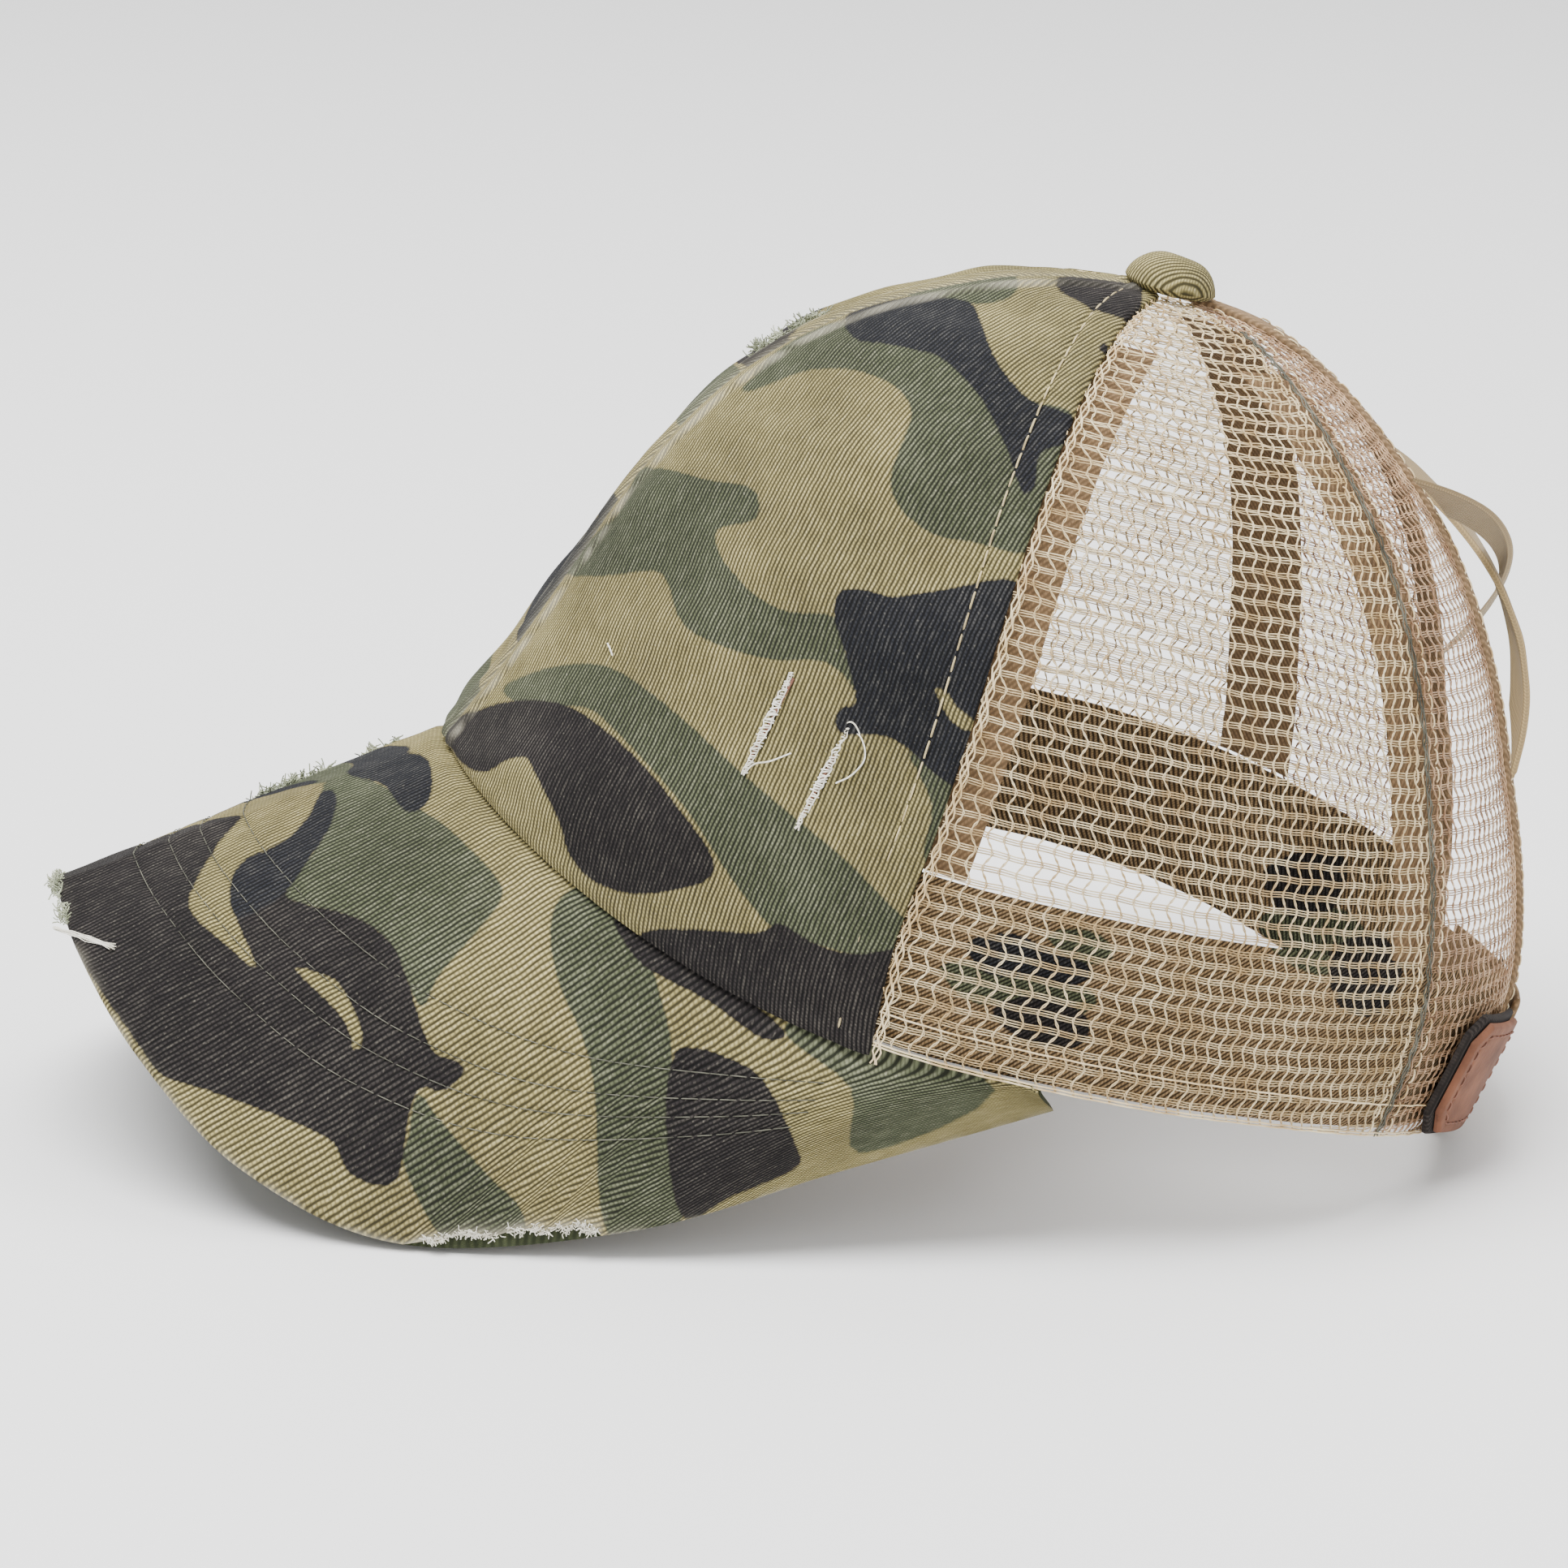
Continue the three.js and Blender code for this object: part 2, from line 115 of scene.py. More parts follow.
ROW_STEPS = np.linspace(0, len(CROWN_ROWS) - 1, 2001)
UP_STEPS = between(CROWN_ROWS[:, UP], ROW_STEPS)


def smoothstep(x):
    """0 below 0 and 1 above 1, with a smooth climb between them."""
    x = np.clip(x, 0, 1)
    return x * x * (3 - 2 * x)


def hem_row(turn):
    """The row of the hem, which rises over the brim and drops at the nape."""
    front = 0.5 + 0.5 * np.cos(pi * np.minimum(np.abs(turn) / FRONT_RISE_END, 1))
    nape = smoothstep((np.abs(turn) - NAPE_DROP_START) / (pi - NAPE_DROP_START))
    return np.interp((FRONT_RISE * front - NAPE_DROP * nape) / CROWN_HEIGHT, UP_STEPS, ROW_STEPS)


def seam_rows(seam, vs):
    """Rows along a seam, from the hem to the button."""
    return hem_row(seam) * (1 - vs) + TOP_ROW * vs


def beside(seam, row, distance):
    """The turn of points at a distance round the crown from a seam."""
    return seam + distance / np.linalg.norm(slopes(seam, row)[0], axis=-1)


def climb(turn, row, distance, steps=6):
    """The row of points at a distance up the crown from a row."""
    at = np.asarray(row, float)
    for _ in range(steps):
        at = at + distance / steps / np.linalg.norm(slopes(turn, at)[1], axis=-1)
    return at


def brim_line(u, v):
    """Points on the brim's upper face: u from -1 at the right temple to 1, v from the crown out."""
    u, v = np.broadcast_arrays(np.asarray(u, float), np.asarray(v, float))
    turn = BRIM_TEMPLE * u
    root = crown(turn, hem_row(turn), np.full(u.shape, GAP))
    root[..., 2] -= GAP + (BRIM_TUCK - GAP) * np.abs(u)
    temple = on_crown(BRIM_TEMPLE, hem_row(BRIM_TEMPLE))
    row = np.abs(u) * (len(BRIM_ROWS) - 1)
    ahead = between(BRIM_ROWS[:, AHEAD], row)
    tip = -FRONT_REACH * CROWN_ROWS[2, FRONT] - BRIM_REACH
    width = temple[0] + (BRIM_HALF_WIDTH - temple[0]) * np.minimum(2 * ahead, 1)
    edge = np.stack([
        np.sign(u) * width * between(BRIM_ROWS[:, ASIDE], row),
        temple[1] + BRIM_END + (tip - temple[1] - BRIM_END) * ahead,
        -BRIM_DROP * between(BRIM_ROWS[:, DROP], row) - BRIM_TUCK * (1 - ahead)], -1)
    return root + (edge - root) * v[..., None]


def brim(u, v, lift=0.0, step=0.01):
    across = brim_line(u + step, v) - brim_line(u - step, v)
    along = brim_line(u, v + step) - brim_line(u, v - step)
    return brim_line(u, v) + unit(np.cross(along, across)) * np.asarray(lift, float)[..., None]


# From the cap's frame to the scene's metres, and to the photograph's pixels

TIP_TURN = np.array([[1, 0, 0], [0, cos(TIP), -sin(TIP)], [0, sin(TIP), cos(TIP)]])


def to_scene(points):
    return (np.asarray(points) @ TIP_TURN.T + SHIFT) / 1000


TO_CAMERA = np.array([cos(YAW) * cos(ELEVATION), -sin(YAW) * cos(ELEVATION), sin(ELEVATION)])
LEVEL_RIGHT = np.array([sin(YAW), cos(YAW), 0.0])
LEVEL_UP = np.cross(TO_CAMERA, LEVEL_RIGHT)
CAMERA_RIGHT = LEVEL_RIGHT * cos(ROLL) + LEVEL_UP * sin(ROLL)
CAMERA_UP = LEVEL_UP * cos(ROLL) - LEVEL_RIGHT * sin(ROLL)


def to_pixels(points):
    offset = np.asarray(points) - TARGET
    scale = PIXELS_PER_MM * DISTANCE / (DISTANCE - offset @ TO_CAMERA)
    return PHOTO_SIZE / 2 + np.stack([offset @ CAMERA_RIGHT * scale, -(offset @ CAMERA_UP) * scale], -1)


# Meshes

def new_object(name, vertices, faces, edges=()):
    mesh = bpy.data.meshes.new(name)
    mesh.from_pydata([tuple(v) for v in vertices], list(edges), faces)
    mesh.update()
    piece = bpy.data.objects.new(name, mesh)
    bpy.context.scene.collection.objects.link(piece)
    return piece


def grid_faces(across, up, start=0, flipped=False):
    i, j = np.meshgrid(np.arange(across - 1), np.arange(up - 1), indexing="ij")
    a = start + i * up + j
    quads = np.stack([a, a + up, a + up + 1, a + 1], -1).reshape(-1, 4)
    return quads[:, ::-1] if flipped else quads


def set_attribute(piece, name, values):
    values = np.asarray(values, np.float32)
    vector = values.ndim == 2
    attribute = piece.data.attributes.new(name, "FLOAT_VECTOR" if vector else "FLOAT", "POINT")
    attribute.data.foreach_set("vector" if vector else "value", values.ravel())


def run_lengths(points):
    """Distances along the first direction of a grid of points, or along a line of them."""
    steps = np.linalg.norm(np.diff(points, axis=0), axis=-1)
    return np.concatenate([np.zeros_like(steps[:1]), np.cumsum(steps, axis=0)])


def cloth_lengths(face):
    """Distances across and up a grid of points from its middle line, for the weave to follow."""
    middle = face.shape[0] // 2
    across = run_lengths(face)
    across = across - across[middle]
    upward = np.broadcast_to(run_lengths(face[middle]), across.shape)
    return np.stack([across, upward, np.zeros_like(across)], -1)


def sheet(name, outer, inner, **attributes):
    """A closed sheet between two grids of points in the cap's frame, with attributes on both faces."""
    across, up = outer.shape[:2]
    count = across * up
    rim = np.concatenate([
        np.arange(across) * up, (across - 1) * up + np.arange(1, up),
        np.arange(across - 2, -1, -1) * up + up - 1, np.arange(up - 2, 0, -1)])
    after = np.roll(rim, -1)
    walls = np.stack([rim, rim + count, after + count, after], -1)
    faces = np.concatenate([grid_faces(across, up), grid_faces(across, up, count, True), walls])
    points = to_scene(np.concatenate([outer.reshape(-1, 3), inner.reshape(-1, 3)]))
    a, b, c = (points[faces[:, k]] for k in range(3))
    d = points[faces[:, 3]]
    volume = np.einsum("ij,ij->", a, np.cross(b, c)) + np.einsum("ij,ij->", a, np.cross(c, d))
    if volume < 0:
        faces = faces[:, ::-1]
    piece = new_object(name, points.tolist(), faces.tolist())
    for key, values in attributes.items():
        flat = values.reshape(count, -1)
        flat = flat[:, 0] if flat.shape[1] == 1 else flat
        set_attribute(piece, key, np.concatenate([flat, flat]))
    piece.data.shade_smooth()
    piece.data.set_sharp_from_angle(angle=radians(50))
    return piece


def lines(count, low=0.0, high=1.0):
    return np.linspace(low, high, count)


def grid(us, vs):
    return np.meshgrid(us, vs, indexing="ij")


def rounding(inset):
    """How far a round edge falls away: 1 at the edge itself, and 0 from an inset of 1."""
    return 1 - np.sqrt(1 - (1 - np.clip(inset, 0, 1)) ** 2)


def finish(piece, slot, material, *nodes):
    """Gives a piece its material and its place in the model, instead of the nodes."""
    piece.data.materials.clear()
    piece.data.materials.append(material)
    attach(piece, "root")
    if nodes:
        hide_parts(*nodes)


# Smooth noise without a library: a sum of waves in seeded directions

def ripple(points, length, seed, waves=7):
    rng = np.random.default_rng(seed)
    height = np.zeros(points.shape[:-1])
    for _ in range(waves):
        direction = unit(rng.normal(size=3)) * 2 * pi / (length * rng.uniform(0.7, 1.5))
        height += np.sin(points @ direction + rng.uniform(0, 2 * pi))
    return height / sqrt(waves / 2)


# Strands: thread, yarn and net are paths that Geometry Nodes turn into tubes

def strand_tree():
    tree = bpy.data.node_groups.new("strands", "GeometryNodeTree")
    tree.interface.new_socket("Geometry", in_out="INPUT", socket_type="NodeSocketGeometry")
    tree.interface.new_socket("Radius", in_out="INPUT", socket_type="NodeSocketFloat")
    tree.interface.new_socket("Sides", in_out="INPUT", socket_type="NodeSocketInt")
    tree.interface.new_socket("Material", in_out="INPUT", socket_type="NodeSocketMaterial")
    tree.interface.new_socket("Geometry", in_out="OUTPUT", socket_type="NodeSocketGeometry")
    given = tree.nodes.new("NodeGroupInput")
    curve = add(tree, "GeometryNodeMeshToCurve", Mesh=given.outputs["Geometry"])
    ring = add(tree, "GeometryNodeCurvePrimitiveCircle", Resolution=given.outputs["Sides"],
               Radius=given.outputs["Radius"])
    tube = add(tree, "GeometryNodeCurveToMesh", Curve=curve.outputs[0], Profile_Curve=ring.outputs[0],
               Fill_Caps=True)
    real = add(tree, "GeometryNodeRealizeInstances", Geometry=tube.outputs[0])
    smooth = add(tree, "GeometryNodeSetShadeSmooth", Geometry=real.outputs[0])
    painted = add(tree, "GeometryNodeSetMaterial", Geometry=smooth.outputs[0],
                  Material=given.outputs["Material"])
    result = tree.nodes.new("NodeGroupOutput")
    tree.links.new(painted.outputs[0], result.inputs[0])
    return tree


def add(tree, kind, settings=None, **inputs):
    """A node with its settings, its inputs linked or set. An underscore stands for a space."""
    node = tree.nodes.new(kind)
    for key, value in (settings or {}).items():
        setattr(node, key, value)
    for key, value in inputs.items():
        key = key.replace("_", " ")
        socket = node.inputs[int(key[1:])] if key[0] == "i" and key[1:].isdigit() else node.inputs[key]
        if isinstance(value, bpy.types.NodeSocket):
            tree.links.new(value, socket)
        else:
            socket.default_value = value
    return node


def strands(name, paths, radius, sides, material):
    """Tubes of a radius in millimetres along paths of points in the cap's frame."""
    tree = bpy.data.node_groups.get("strands") or strand_tree()
    counts = [len(path) for path in paths]
    starts = np.cumsum([0] + counts[:-1])
    edges = np.concatenate([start + np.stack([np.arange(n - 1), np.arange(1, n)], -1)
                            for start, n in zip(starts, counts)])
    skeleton = new_object(name, to_scene(np.concatenate(paths)).tolist(), [], edges.tolist())
    modifier = skeleton.modifiers.new("strands", "NODES")
    modifier.node_group = tree
    values = {"Radius": radius / 1000, "Sides": sides, "Material": material}
    for item in tree.interface.items_tree:
        if item.name in values:
            modifier[item.identifier] = values[item.name]
    bpy.context.view_layer.update()
    evaluated = skeleton.evaluated_get(bpy.context.evaluated_depsgraph_get())
    mesh = bpy.data.meshes.new_from_object(evaluated)
    skeleton.modifiers.clear()
    old, skeleton.data = skeleton.data, mesh
    bpy.data.meshes.remove(old)
    mesh.name = name
    return skeleton


# Materials

def linear(hex_colour):
    """An sRGB hex colour as linear RGBA."""
    parts = [int(hex_colour[i:i + 2], 16) / 255 for i in (1, 3, 5)]
    return tuple(c / 12.92 if c <= 0.04045 else ((c + 0.055) / 1.055) ** 2.4 for c in parts) + (1.0,)


def new_material(name, **inputs):
    material = bpy.data.materials.new(name)
    material.use_nodes = True
    shader = material.node_tree.nodes["Principled BSDF"]
    for key, value in inputs.items():
        shader.inputs[key.replace("_", " ")].default_value = value
    return material, material.node_tree, shader


def attribute(tree, name, output="Fac"):
    return add(tree, "ShaderNodeAttribute", {"attribute_name": name}).outputs[output]


def noise(tree, vector, scale, detail=3.0, roughness=0.55):
    return add(tree, "ShaderNodeTexNoise", Vector=vector, Scale=scale, Detail=detail,
               Roughness=roughness).outputs["Fac"]


def ramp(tree, value, low, high, to_low=0.0, to_high=1.0):
    return add(tree, "ShaderNodeMapRange", Value=value, From_Min=low, From_Max=high,
               To_Min=to_low, To_Max=to_high).outputs[0]


def calculate(tree, operation, a, b=0.0):
    return add(tree, "ShaderNodeMath", {"operation": operation}, i0=a, i1=b).outputs[0]


def multiply(tree, first, *others):
    for other in others:
        first = calculate(tree, "MULTIPLY", first, other)
    return first


def total(tree, first, *others):
    for other in others:
        first = calculate(tree, "ADD", first, other)
    return first


def blend(tree, factor, a, b, kind="MIX"):
    node = add(tree, "ShaderNodeMix", {"data_type": "RGBA", "blend_type": kind}, i0=factor, i6=a, i7=b)
    return node.outputs[2]


def shaded(tree, colour, shade):
    tone = add(tree, "ShaderNodeCombineColor", Red=shade, Green=shade, Blue=shade).outputs[0]
    return blend(tree, 1.0, colour, tone, "MULTIPLY")


def surface(tree, shader, colour, height, strength, depth=0.0002):
    """Gives a shader its colour, and a bump of a depth in metres."""
    tree.links.new(colour, shader.inputs["Base Color"])
    bump = add(tree, "ShaderNodeBump", Height=height, Strength=strength, Distance=depth)
    tree.links.new(bump.outputs[0], shader.inputs["Normal"])


def twill_ribs(tree, cloth, pitch, angle):
    """Twill: ribs at an angle on the cloth, each a row of short slanting floats. 1 on a thread."""
    turned = add(tree, "ShaderNodeMapping", Vector=cloth, Rotation=(0, 0, angle),
                 Scale=(1 / pitch, 1 / pitch, 1)).outputs[0]
    wobble = add(tree, "ShaderNodeTexNoise", Vector=turned, Scale=0.3, Detail=2.0)
    shifted = add(tree, "ShaderNodeVectorMath", {"operation": "MULTIPLY_ADD"}, i0=wobble.outputs["Color"],
                  i1=(0.45, 0.45, 0), i2=turned).outputs[0]
    split = add(tree, "ShaderNodeSeparateXYZ", Vector=shifted)
    rib = calculate(tree, "SINE", multiply(tree, split.outputs["X"], 2 * pi))
    slant = total(tree, split.outputs["Y"], multiply(tree, split.outputs["X"], 0.45))
    floats = calculate(tree, "SINE", multiply(tree, slant, 2 * pi * FLOATS_PER_RIB))
    rib = ramp(tree, rib, -0.75, 0.8)
    floats = ramp(tree, floats, -1.0, 0.3, 0.5, 1.0)
    return multiply(tree, rib, floats), turned


RIB_PITCH, FLOATS_PER_RIB = 0.8, 1.3
KHAKI, OLIVE, BROWN_BLACK, BLUE_BLACK = "#918658", "#50553f", "#272323", "#222328"
PALE_THREAD = "#d6d0ba"


def camo_twill(name, angle, ground=KHAKI):
    """Printed cotton twill, stone washed: fine slanting ribs whose tops the wash has paled, with painted
    shade in the valleys between the ribs and a painted highlight on their tops.
    """
    material, tree, shader = new_material(name, Roughness=0.95, Specular_IOR_Level=0.25)
    cloth = attribute(tree, "cloth", "Vector")
    ribs, turned = twill_ribs(tree, cloth, RIB_PITCH, angle)
    ragged = ramp(tree, noise(tree, cloth, 0.9, 2.0), 0, 1, -2.4, 2.4)
    wash = noise(tree, cloth, 0.03, 4.0, 0.6)
    streak = add(tree, "ShaderNodeMapping", Vector=turned, Scale=(1.0, 0.16, 1)).outputs[0]
    slub = noise(tree, streak, 1.3, 3.0, 0.65)
    speck = noise(tree, cloth, 1.7, 2.0, 0.6)

    def inside(field, grown=0.0):
        return ramp(tree, total(tree, attribute(tree, field), ragged), -1.6 - grown, 1.6 - grown)

    dark = blend(tree, inside("cool"), linear(BROWN_BLACK), linear(BLUE_BLACK))
    colour = blend(tree, inside("olive", 1.8), linear(ground), linear(OLIVE))
    colour = blend(tree, inside("dark"), colour, dark)
    # The shade multiplies the fading of the wash and the slubs with the ribs' painted shade and painted
    # highlight.
    shade = multiply(tree, ramp(tree, wash, 0.32, 0.68, 0.64, 1.2), ramp(tree, ribs, 0, 1, 0.18, 1.55),
                     ramp(tree, slub, 0.3, 0.7, 0.72, 1.22))
    colour = shaded(tree, colour, shade)
    paled = total(tree, ramp(tree, slub, 0.48, 0.75, 0.0, 0.16), ramp(tree, speck, 0.58, 0.74, 0.0, 0.24),
                  ramp(tree, wash, 0.52, 0.75, 0.0, 0.1))
    paled = multiply(tree, paled, ribs, ramp(tree, inside("dark"), 0, 1, 1.0, 0.5))
    paled = total(tree, paled, multiply(tree, attribute(tree, "wear"), 0.6))
    colour = blend(tree, calculate(tree, "MINIMUM", paled, 0.8), colour, linear(PALE_THREAD))
    surface(tree, shader, colour, total(tree, ribs, multiply(tree, slub, 0.5)), 0.7, 0.0003)
    return material


def plain_twill(name, base, pale, pitch, angle, roughness=0.9):
    """Plain dyed cotton twill or tape with fine ribs."""
    material, tree, shader = new_material(name, Roughness=roughness, Specular_IOR_Level=0.25)
    cloth = attribute(tree, "cloth", "Vector")
    ribs, _ = twill_ribs(tree, cloth, pitch, angle)
    colour = blend(tree, ramp(tree, ribs, 0, 1, 0.1, 0.9), linear(base), linear(pale))
    colour = shaded(tree, colour, ramp(tree, noise(tree, cloth, 0.12, 3.0), 0.3, 0.7, 0.85, 1.1))
    surface(tree, shader, colour, ribs, 0.5)
    return material


def yarn(name, colour, pale, roughness, sheen=0.0):
    """Thread or yarn, with a slow change of tone along it."""
    material, tree, shader = new_material(name, Roughness=roughness, Sheen_Weight=sheen)
    place = add(tree, "ShaderNodeTexCoord").outputs["Object"]
    tone = ramp(tree, noise(tree, place, 180.0, 2.0), 0.35, 0.65)
    tree.links.new(blend(tree, tone, linear(colour), linear(pale)), shader.inputs["Base Color"])
    return material


def leather():
    """Vegetable tanned cowhide, smooth with a fine grain, darker where it is handled."""
    material, tree, shader = new_material("smooth_brown_leather", Roughness=0.75, Specular_IOR_Level=0.3)
    place = add(tree, "ShaderNodeTexCoord").outputs["Object"]
    grain = add(tree, "ShaderNodeTexVoronoi", Vector=place, Scale=1400.0).outputs["Distance"]
    cloud = noise(tree, place, 160.0, 4.0)
    colour = blend(tree, ramp(tree, cloud, 0.3, 0.7), linear("#583626"), linear("#7c503a"))
    surface(tree, shader, colour, total(tree, grain, cloud), 0.3)
    return material


ELASTIC_RIB, ELASTIC_COURSE = 1.2, 0.7


def elastic():
    """Knitted elastic: ribs along the band, crossed by fine courses."""
    material, tree, shader = new_material("knitted_elastic", Roughness=0.8, Sheen_Weight=0.2)
    split = add(tree, "ShaderNodeSeparateXYZ", Vector=attribute(tree, "cloth", "Vector"))
    ribs = calculate(tree, "SINE", multiply(tree, split.outputs["Y"], 2 * pi / ELASTIC_RIB))
    courses = calculate(tree, "SINE", multiply(tree, split.outputs["X"], 2 * pi / ELASTIC_COURSE))
    knit = multiply(tree, ramp(tree, ribs, -1, 1), ramp(tree, courses, -1, 1, 0.5, 1))
    colour = blend(tree, knit, linear("#6f5d3d"), linear("#a48c60"))
    surface(tree, shader, colour, knit, 0.5)
    return material


# Cotton twill with dull ribs and faded prints, for the panels, the brim, its lining and the sweatband. The
# camo twills carry painted shade and highlights on their ribs.
crown_twill = camo_twill("washed_camo_twill_crown", radians(-8))
brim_twill = camo_twill("washed_camo_twill_brim", radians(9))
olive_twill = plain_twill("olive_lining_twill", "#2b3020", "#474d35", 1.0, radians(45))
liner_twill = camo_twill("sweatband_camo_twill", radians(40), "#8d7453")

# Matt cotton tape, glossier net yarn, and sewing threads that pick out the seams
tan_tape = plain_twill("tan_cotton_tape", "#6a563f", "#94795a", 0.9, radians(35))
tan_net_yarn = yarn("tan_polyester_yarn", "#c3a676", "#eddbb2", 0.34)
rosy_net_yarn = yarn("rosy_tan_polyester_yarn", "#a37f5f", "#d2b18d", 0.34)
tan_thread = yarn("tan_sewing_thread", "#9c8c66", "#c4b489", 0.7)
olive_thread = yarn("olive_sewing_thread", "#3b3b30", "#6a695c", 0.75)

# Fluffy ends where the cloth is worn: white weft, and warp that keeps some of the print's olive
pale_fray = yarn("bleached_cotton_fray", "#d9d4c2", "#f1eee2", 0.9, 0.2)
green_fray = yarn("olive_cotton_fray", "#8d9378", "#b9bda3", 0.9, 0.2)

# The bands, and the patch with its thread and the black layer under it
knit_elastic = elastic()
# Brown thread for the patch's stitches; the same material paints the shadow along the slits in the front
# panel.
brown_thread_and_slit_shadow = yarn("brown_sewing_thread_and_slit_shadow", "#6d4636", "#8a5c49", 0.7)
brown_leather = leather()
black_hook = plain_twill("black_hook_tape", "#191513", "#3a3431", 0.8, radians(0), 0.95)


# Camouflage: the print's patches, drawn as outlines in the photograph's pixels

CROWN_COOL = [
    [(1045, 392), (1120, 370), (1190, 367), (1207, 390), (1225, 440), (1270, 490), (1330, 520), (1310, 548),
     (1282, 560), (1275, 600), (1262, 610), (1252, 590), (1240, 550), (1210, 490), (1165, 445), (1130, 432),
     (1090, 425), (1055, 420)],
    [(1030, 740), (1040, 728), (1065, 727), (1100, 735), (1150, 728), (1255, 716), (1240, 790), (1225, 850),
     (1205, 900), (1190, 968), (1160, 960), (1100, 910), (1040, 905), (1030, 885), (1040, 870), (1055, 865),
     (1040, 800), (1030, 770)]]
CROWN_BROWN = [
    [(1305, 345), (1400, 345), (1400, 400), (1385, 395), (1350, 385), (1320, 365)],
    [(1354, 430), (1360, 424), (1366, 430), (1360, 436)],
    [(553, 900), (600, 870), (650, 862), (700, 870), (740, 895), (790, 940), (840, 1000), (875, 1050),
     (875, 1080), (840, 1095), (780, 1102), (730, 1085), (700, 1050), (690, 1010), (665, 960), (650, 935),
     (625, 938), (605, 950), (585, 950), (562, 930)],
    [(790, 1150), (850, 1145), (930, 1150), (960, 1138), (1000, 1160), (1050, 1175), (1130, 1180),
     (1100, 1320), (1000, 1290), (900, 1235), (800, 1190)]]
CROWN_GREEN = [
    [(915, 480), (985, 455), (1040, 452), (1080, 462), (1110, 480), (1125, 510), (1115, 545), (1100, 590),
     (1110, 625), (1150, 655), (1200, 665), (1268, 678), (1290, 600), (1325, 520), (1265, 490), (1210, 440),
     (1150, 420), (1100, 405), (1045, 400), (980, 425)],
    [(1140, 352), (1200, 345), (1250, 345), (1240, 362), (1180, 370), (1120, 368)],
    [(800, 580), (870, 592), (920, 600), (933, 620), (925, 640), (880, 650), (885, 685), (905, 710),
     (930, 735), (970, 755), (1030, 762), (1040, 800), (1055, 850), (1040, 830), (1010, 812), (960, 812),
     (905, 800), (845, 770), (820, 715), (800, 700), (740, 710), (695, 705), (720, 680), (760, 640),
     (780, 610)],
    [(1120, 925), (1150, 990), (1140, 1050), (1150, 1080), (1180, 990), (1195, 950), (1160, 950)],
    [(620, 850), (660, 830), (700, 820), (740, 820), (780, 840), (830, 880), (920, 960), (980, 1010),
     (1040, 1060), (1090, 1110), (1125, 1150), (1110, 1185), (1000, 1160), (950, 1140), (900, 1080),
     (850, 1000), (760, 900), (720, 870), (660, 872)]]
CROWN_HOLES = [[(1152, 848), (1165, 852), (1180, 872), (1200, 888), (1198, 900), (1180, 895), (1163, 875)]]
BRIM_COOL = [
    [(430, 955), (460, 930), (520, 930), (533, 960), (525, 990), (500, 1000), (470, 965)],
    [(395, 978), (410, 975), (415, 990), (400, 1030), (355, 1095), (320, 1120), (290, 1130), (283, 1090),
     (300, 1060), (350, 1035), (380, 1005)]]
BRIM_BROWN = [
    [(50, 1070), (200, 1010), (305, 985), (265, 1045), (235, 1100), (240, 1130), (275, 1160), (315, 1192),
     (290, 1130), (283, 1090), (300, 1060), (350, 1035), (380, 1005), (395, 978), (410, 975), (415, 990),
     (400, 1030), (355, 1095), (365, 1110), (440, 1130), (480, 1160), (500, 1200), (530, 1290), (560, 1305),
     (572, 1320), (545, 1345), (520, 1340), (505, 1370), (490, 1450), (460, 1460), (425, 1440),
     (400, 1400), (260, 1345), (200, 1325), (165, 1280), (110, 1200), (65, 1120)],
    [(755, 1130), (800, 1150), (880, 1200), (965, 1268), (940, 1280), (870, 1232), (800, 1195),
     (775, 1170)],
    [(830, 1300), (850, 1290), (890, 1300), (940, 1330), (980, 1410), (980, 1440), (900, 1475),
     (840, 1500), (820, 1380)]]
BRIM_GREEN = [
    [(400, 970), (440, 955), (520, 1000), (560, 1030), (615, 1090), (600, 1130), (540, 1200), (520, 1240),
     (500, 1200), (480, 1160), (440, 1130), (365, 1110), (355, 1095), (400, 1030)],
    [(690, 1110), (680, 1150), (690, 1210), (720, 1280), (735, 1350), (750, 1520), (840, 1500),
     (825, 1290), (815, 1240), (800, 1190), (760, 1130), (720, 1090)],
    [(970, 1275), (1050, 1340), (1060, 1420), (1225, 1345), (1085, 1290), (1000, 1250)],
    [(515, 1350), (540, 1380), (600, 1450), (640, 1490), (640, 1540), (560, 1540), (500, 1440),
     (505, 1400)]]
BRIM_HOLES = [[(365, 1195), (395, 1200), (420, 1215), (445, 1270), (437, 1297), (428, 1265), (410, 1240)]]
FIELD_LIMIT = 20.0


def smooth_outline(outline, steps=4):
    """A closed curve through an outline's points."""
    corners = np.array(outline, float)
    a, b, c, d = (np.roll(corners, shift, axis=0)[:, None] for shift in (1, 0, -1, -2))
    t = (np.arange(steps) / steps)[None, :, None]
    curve = b + 0.5 * t * (c - a + t * (2 * a - 5 * b + 4 * c - d + t * (3 * (b - c) + d - a)))
    return curve.reshape(-1, 2)


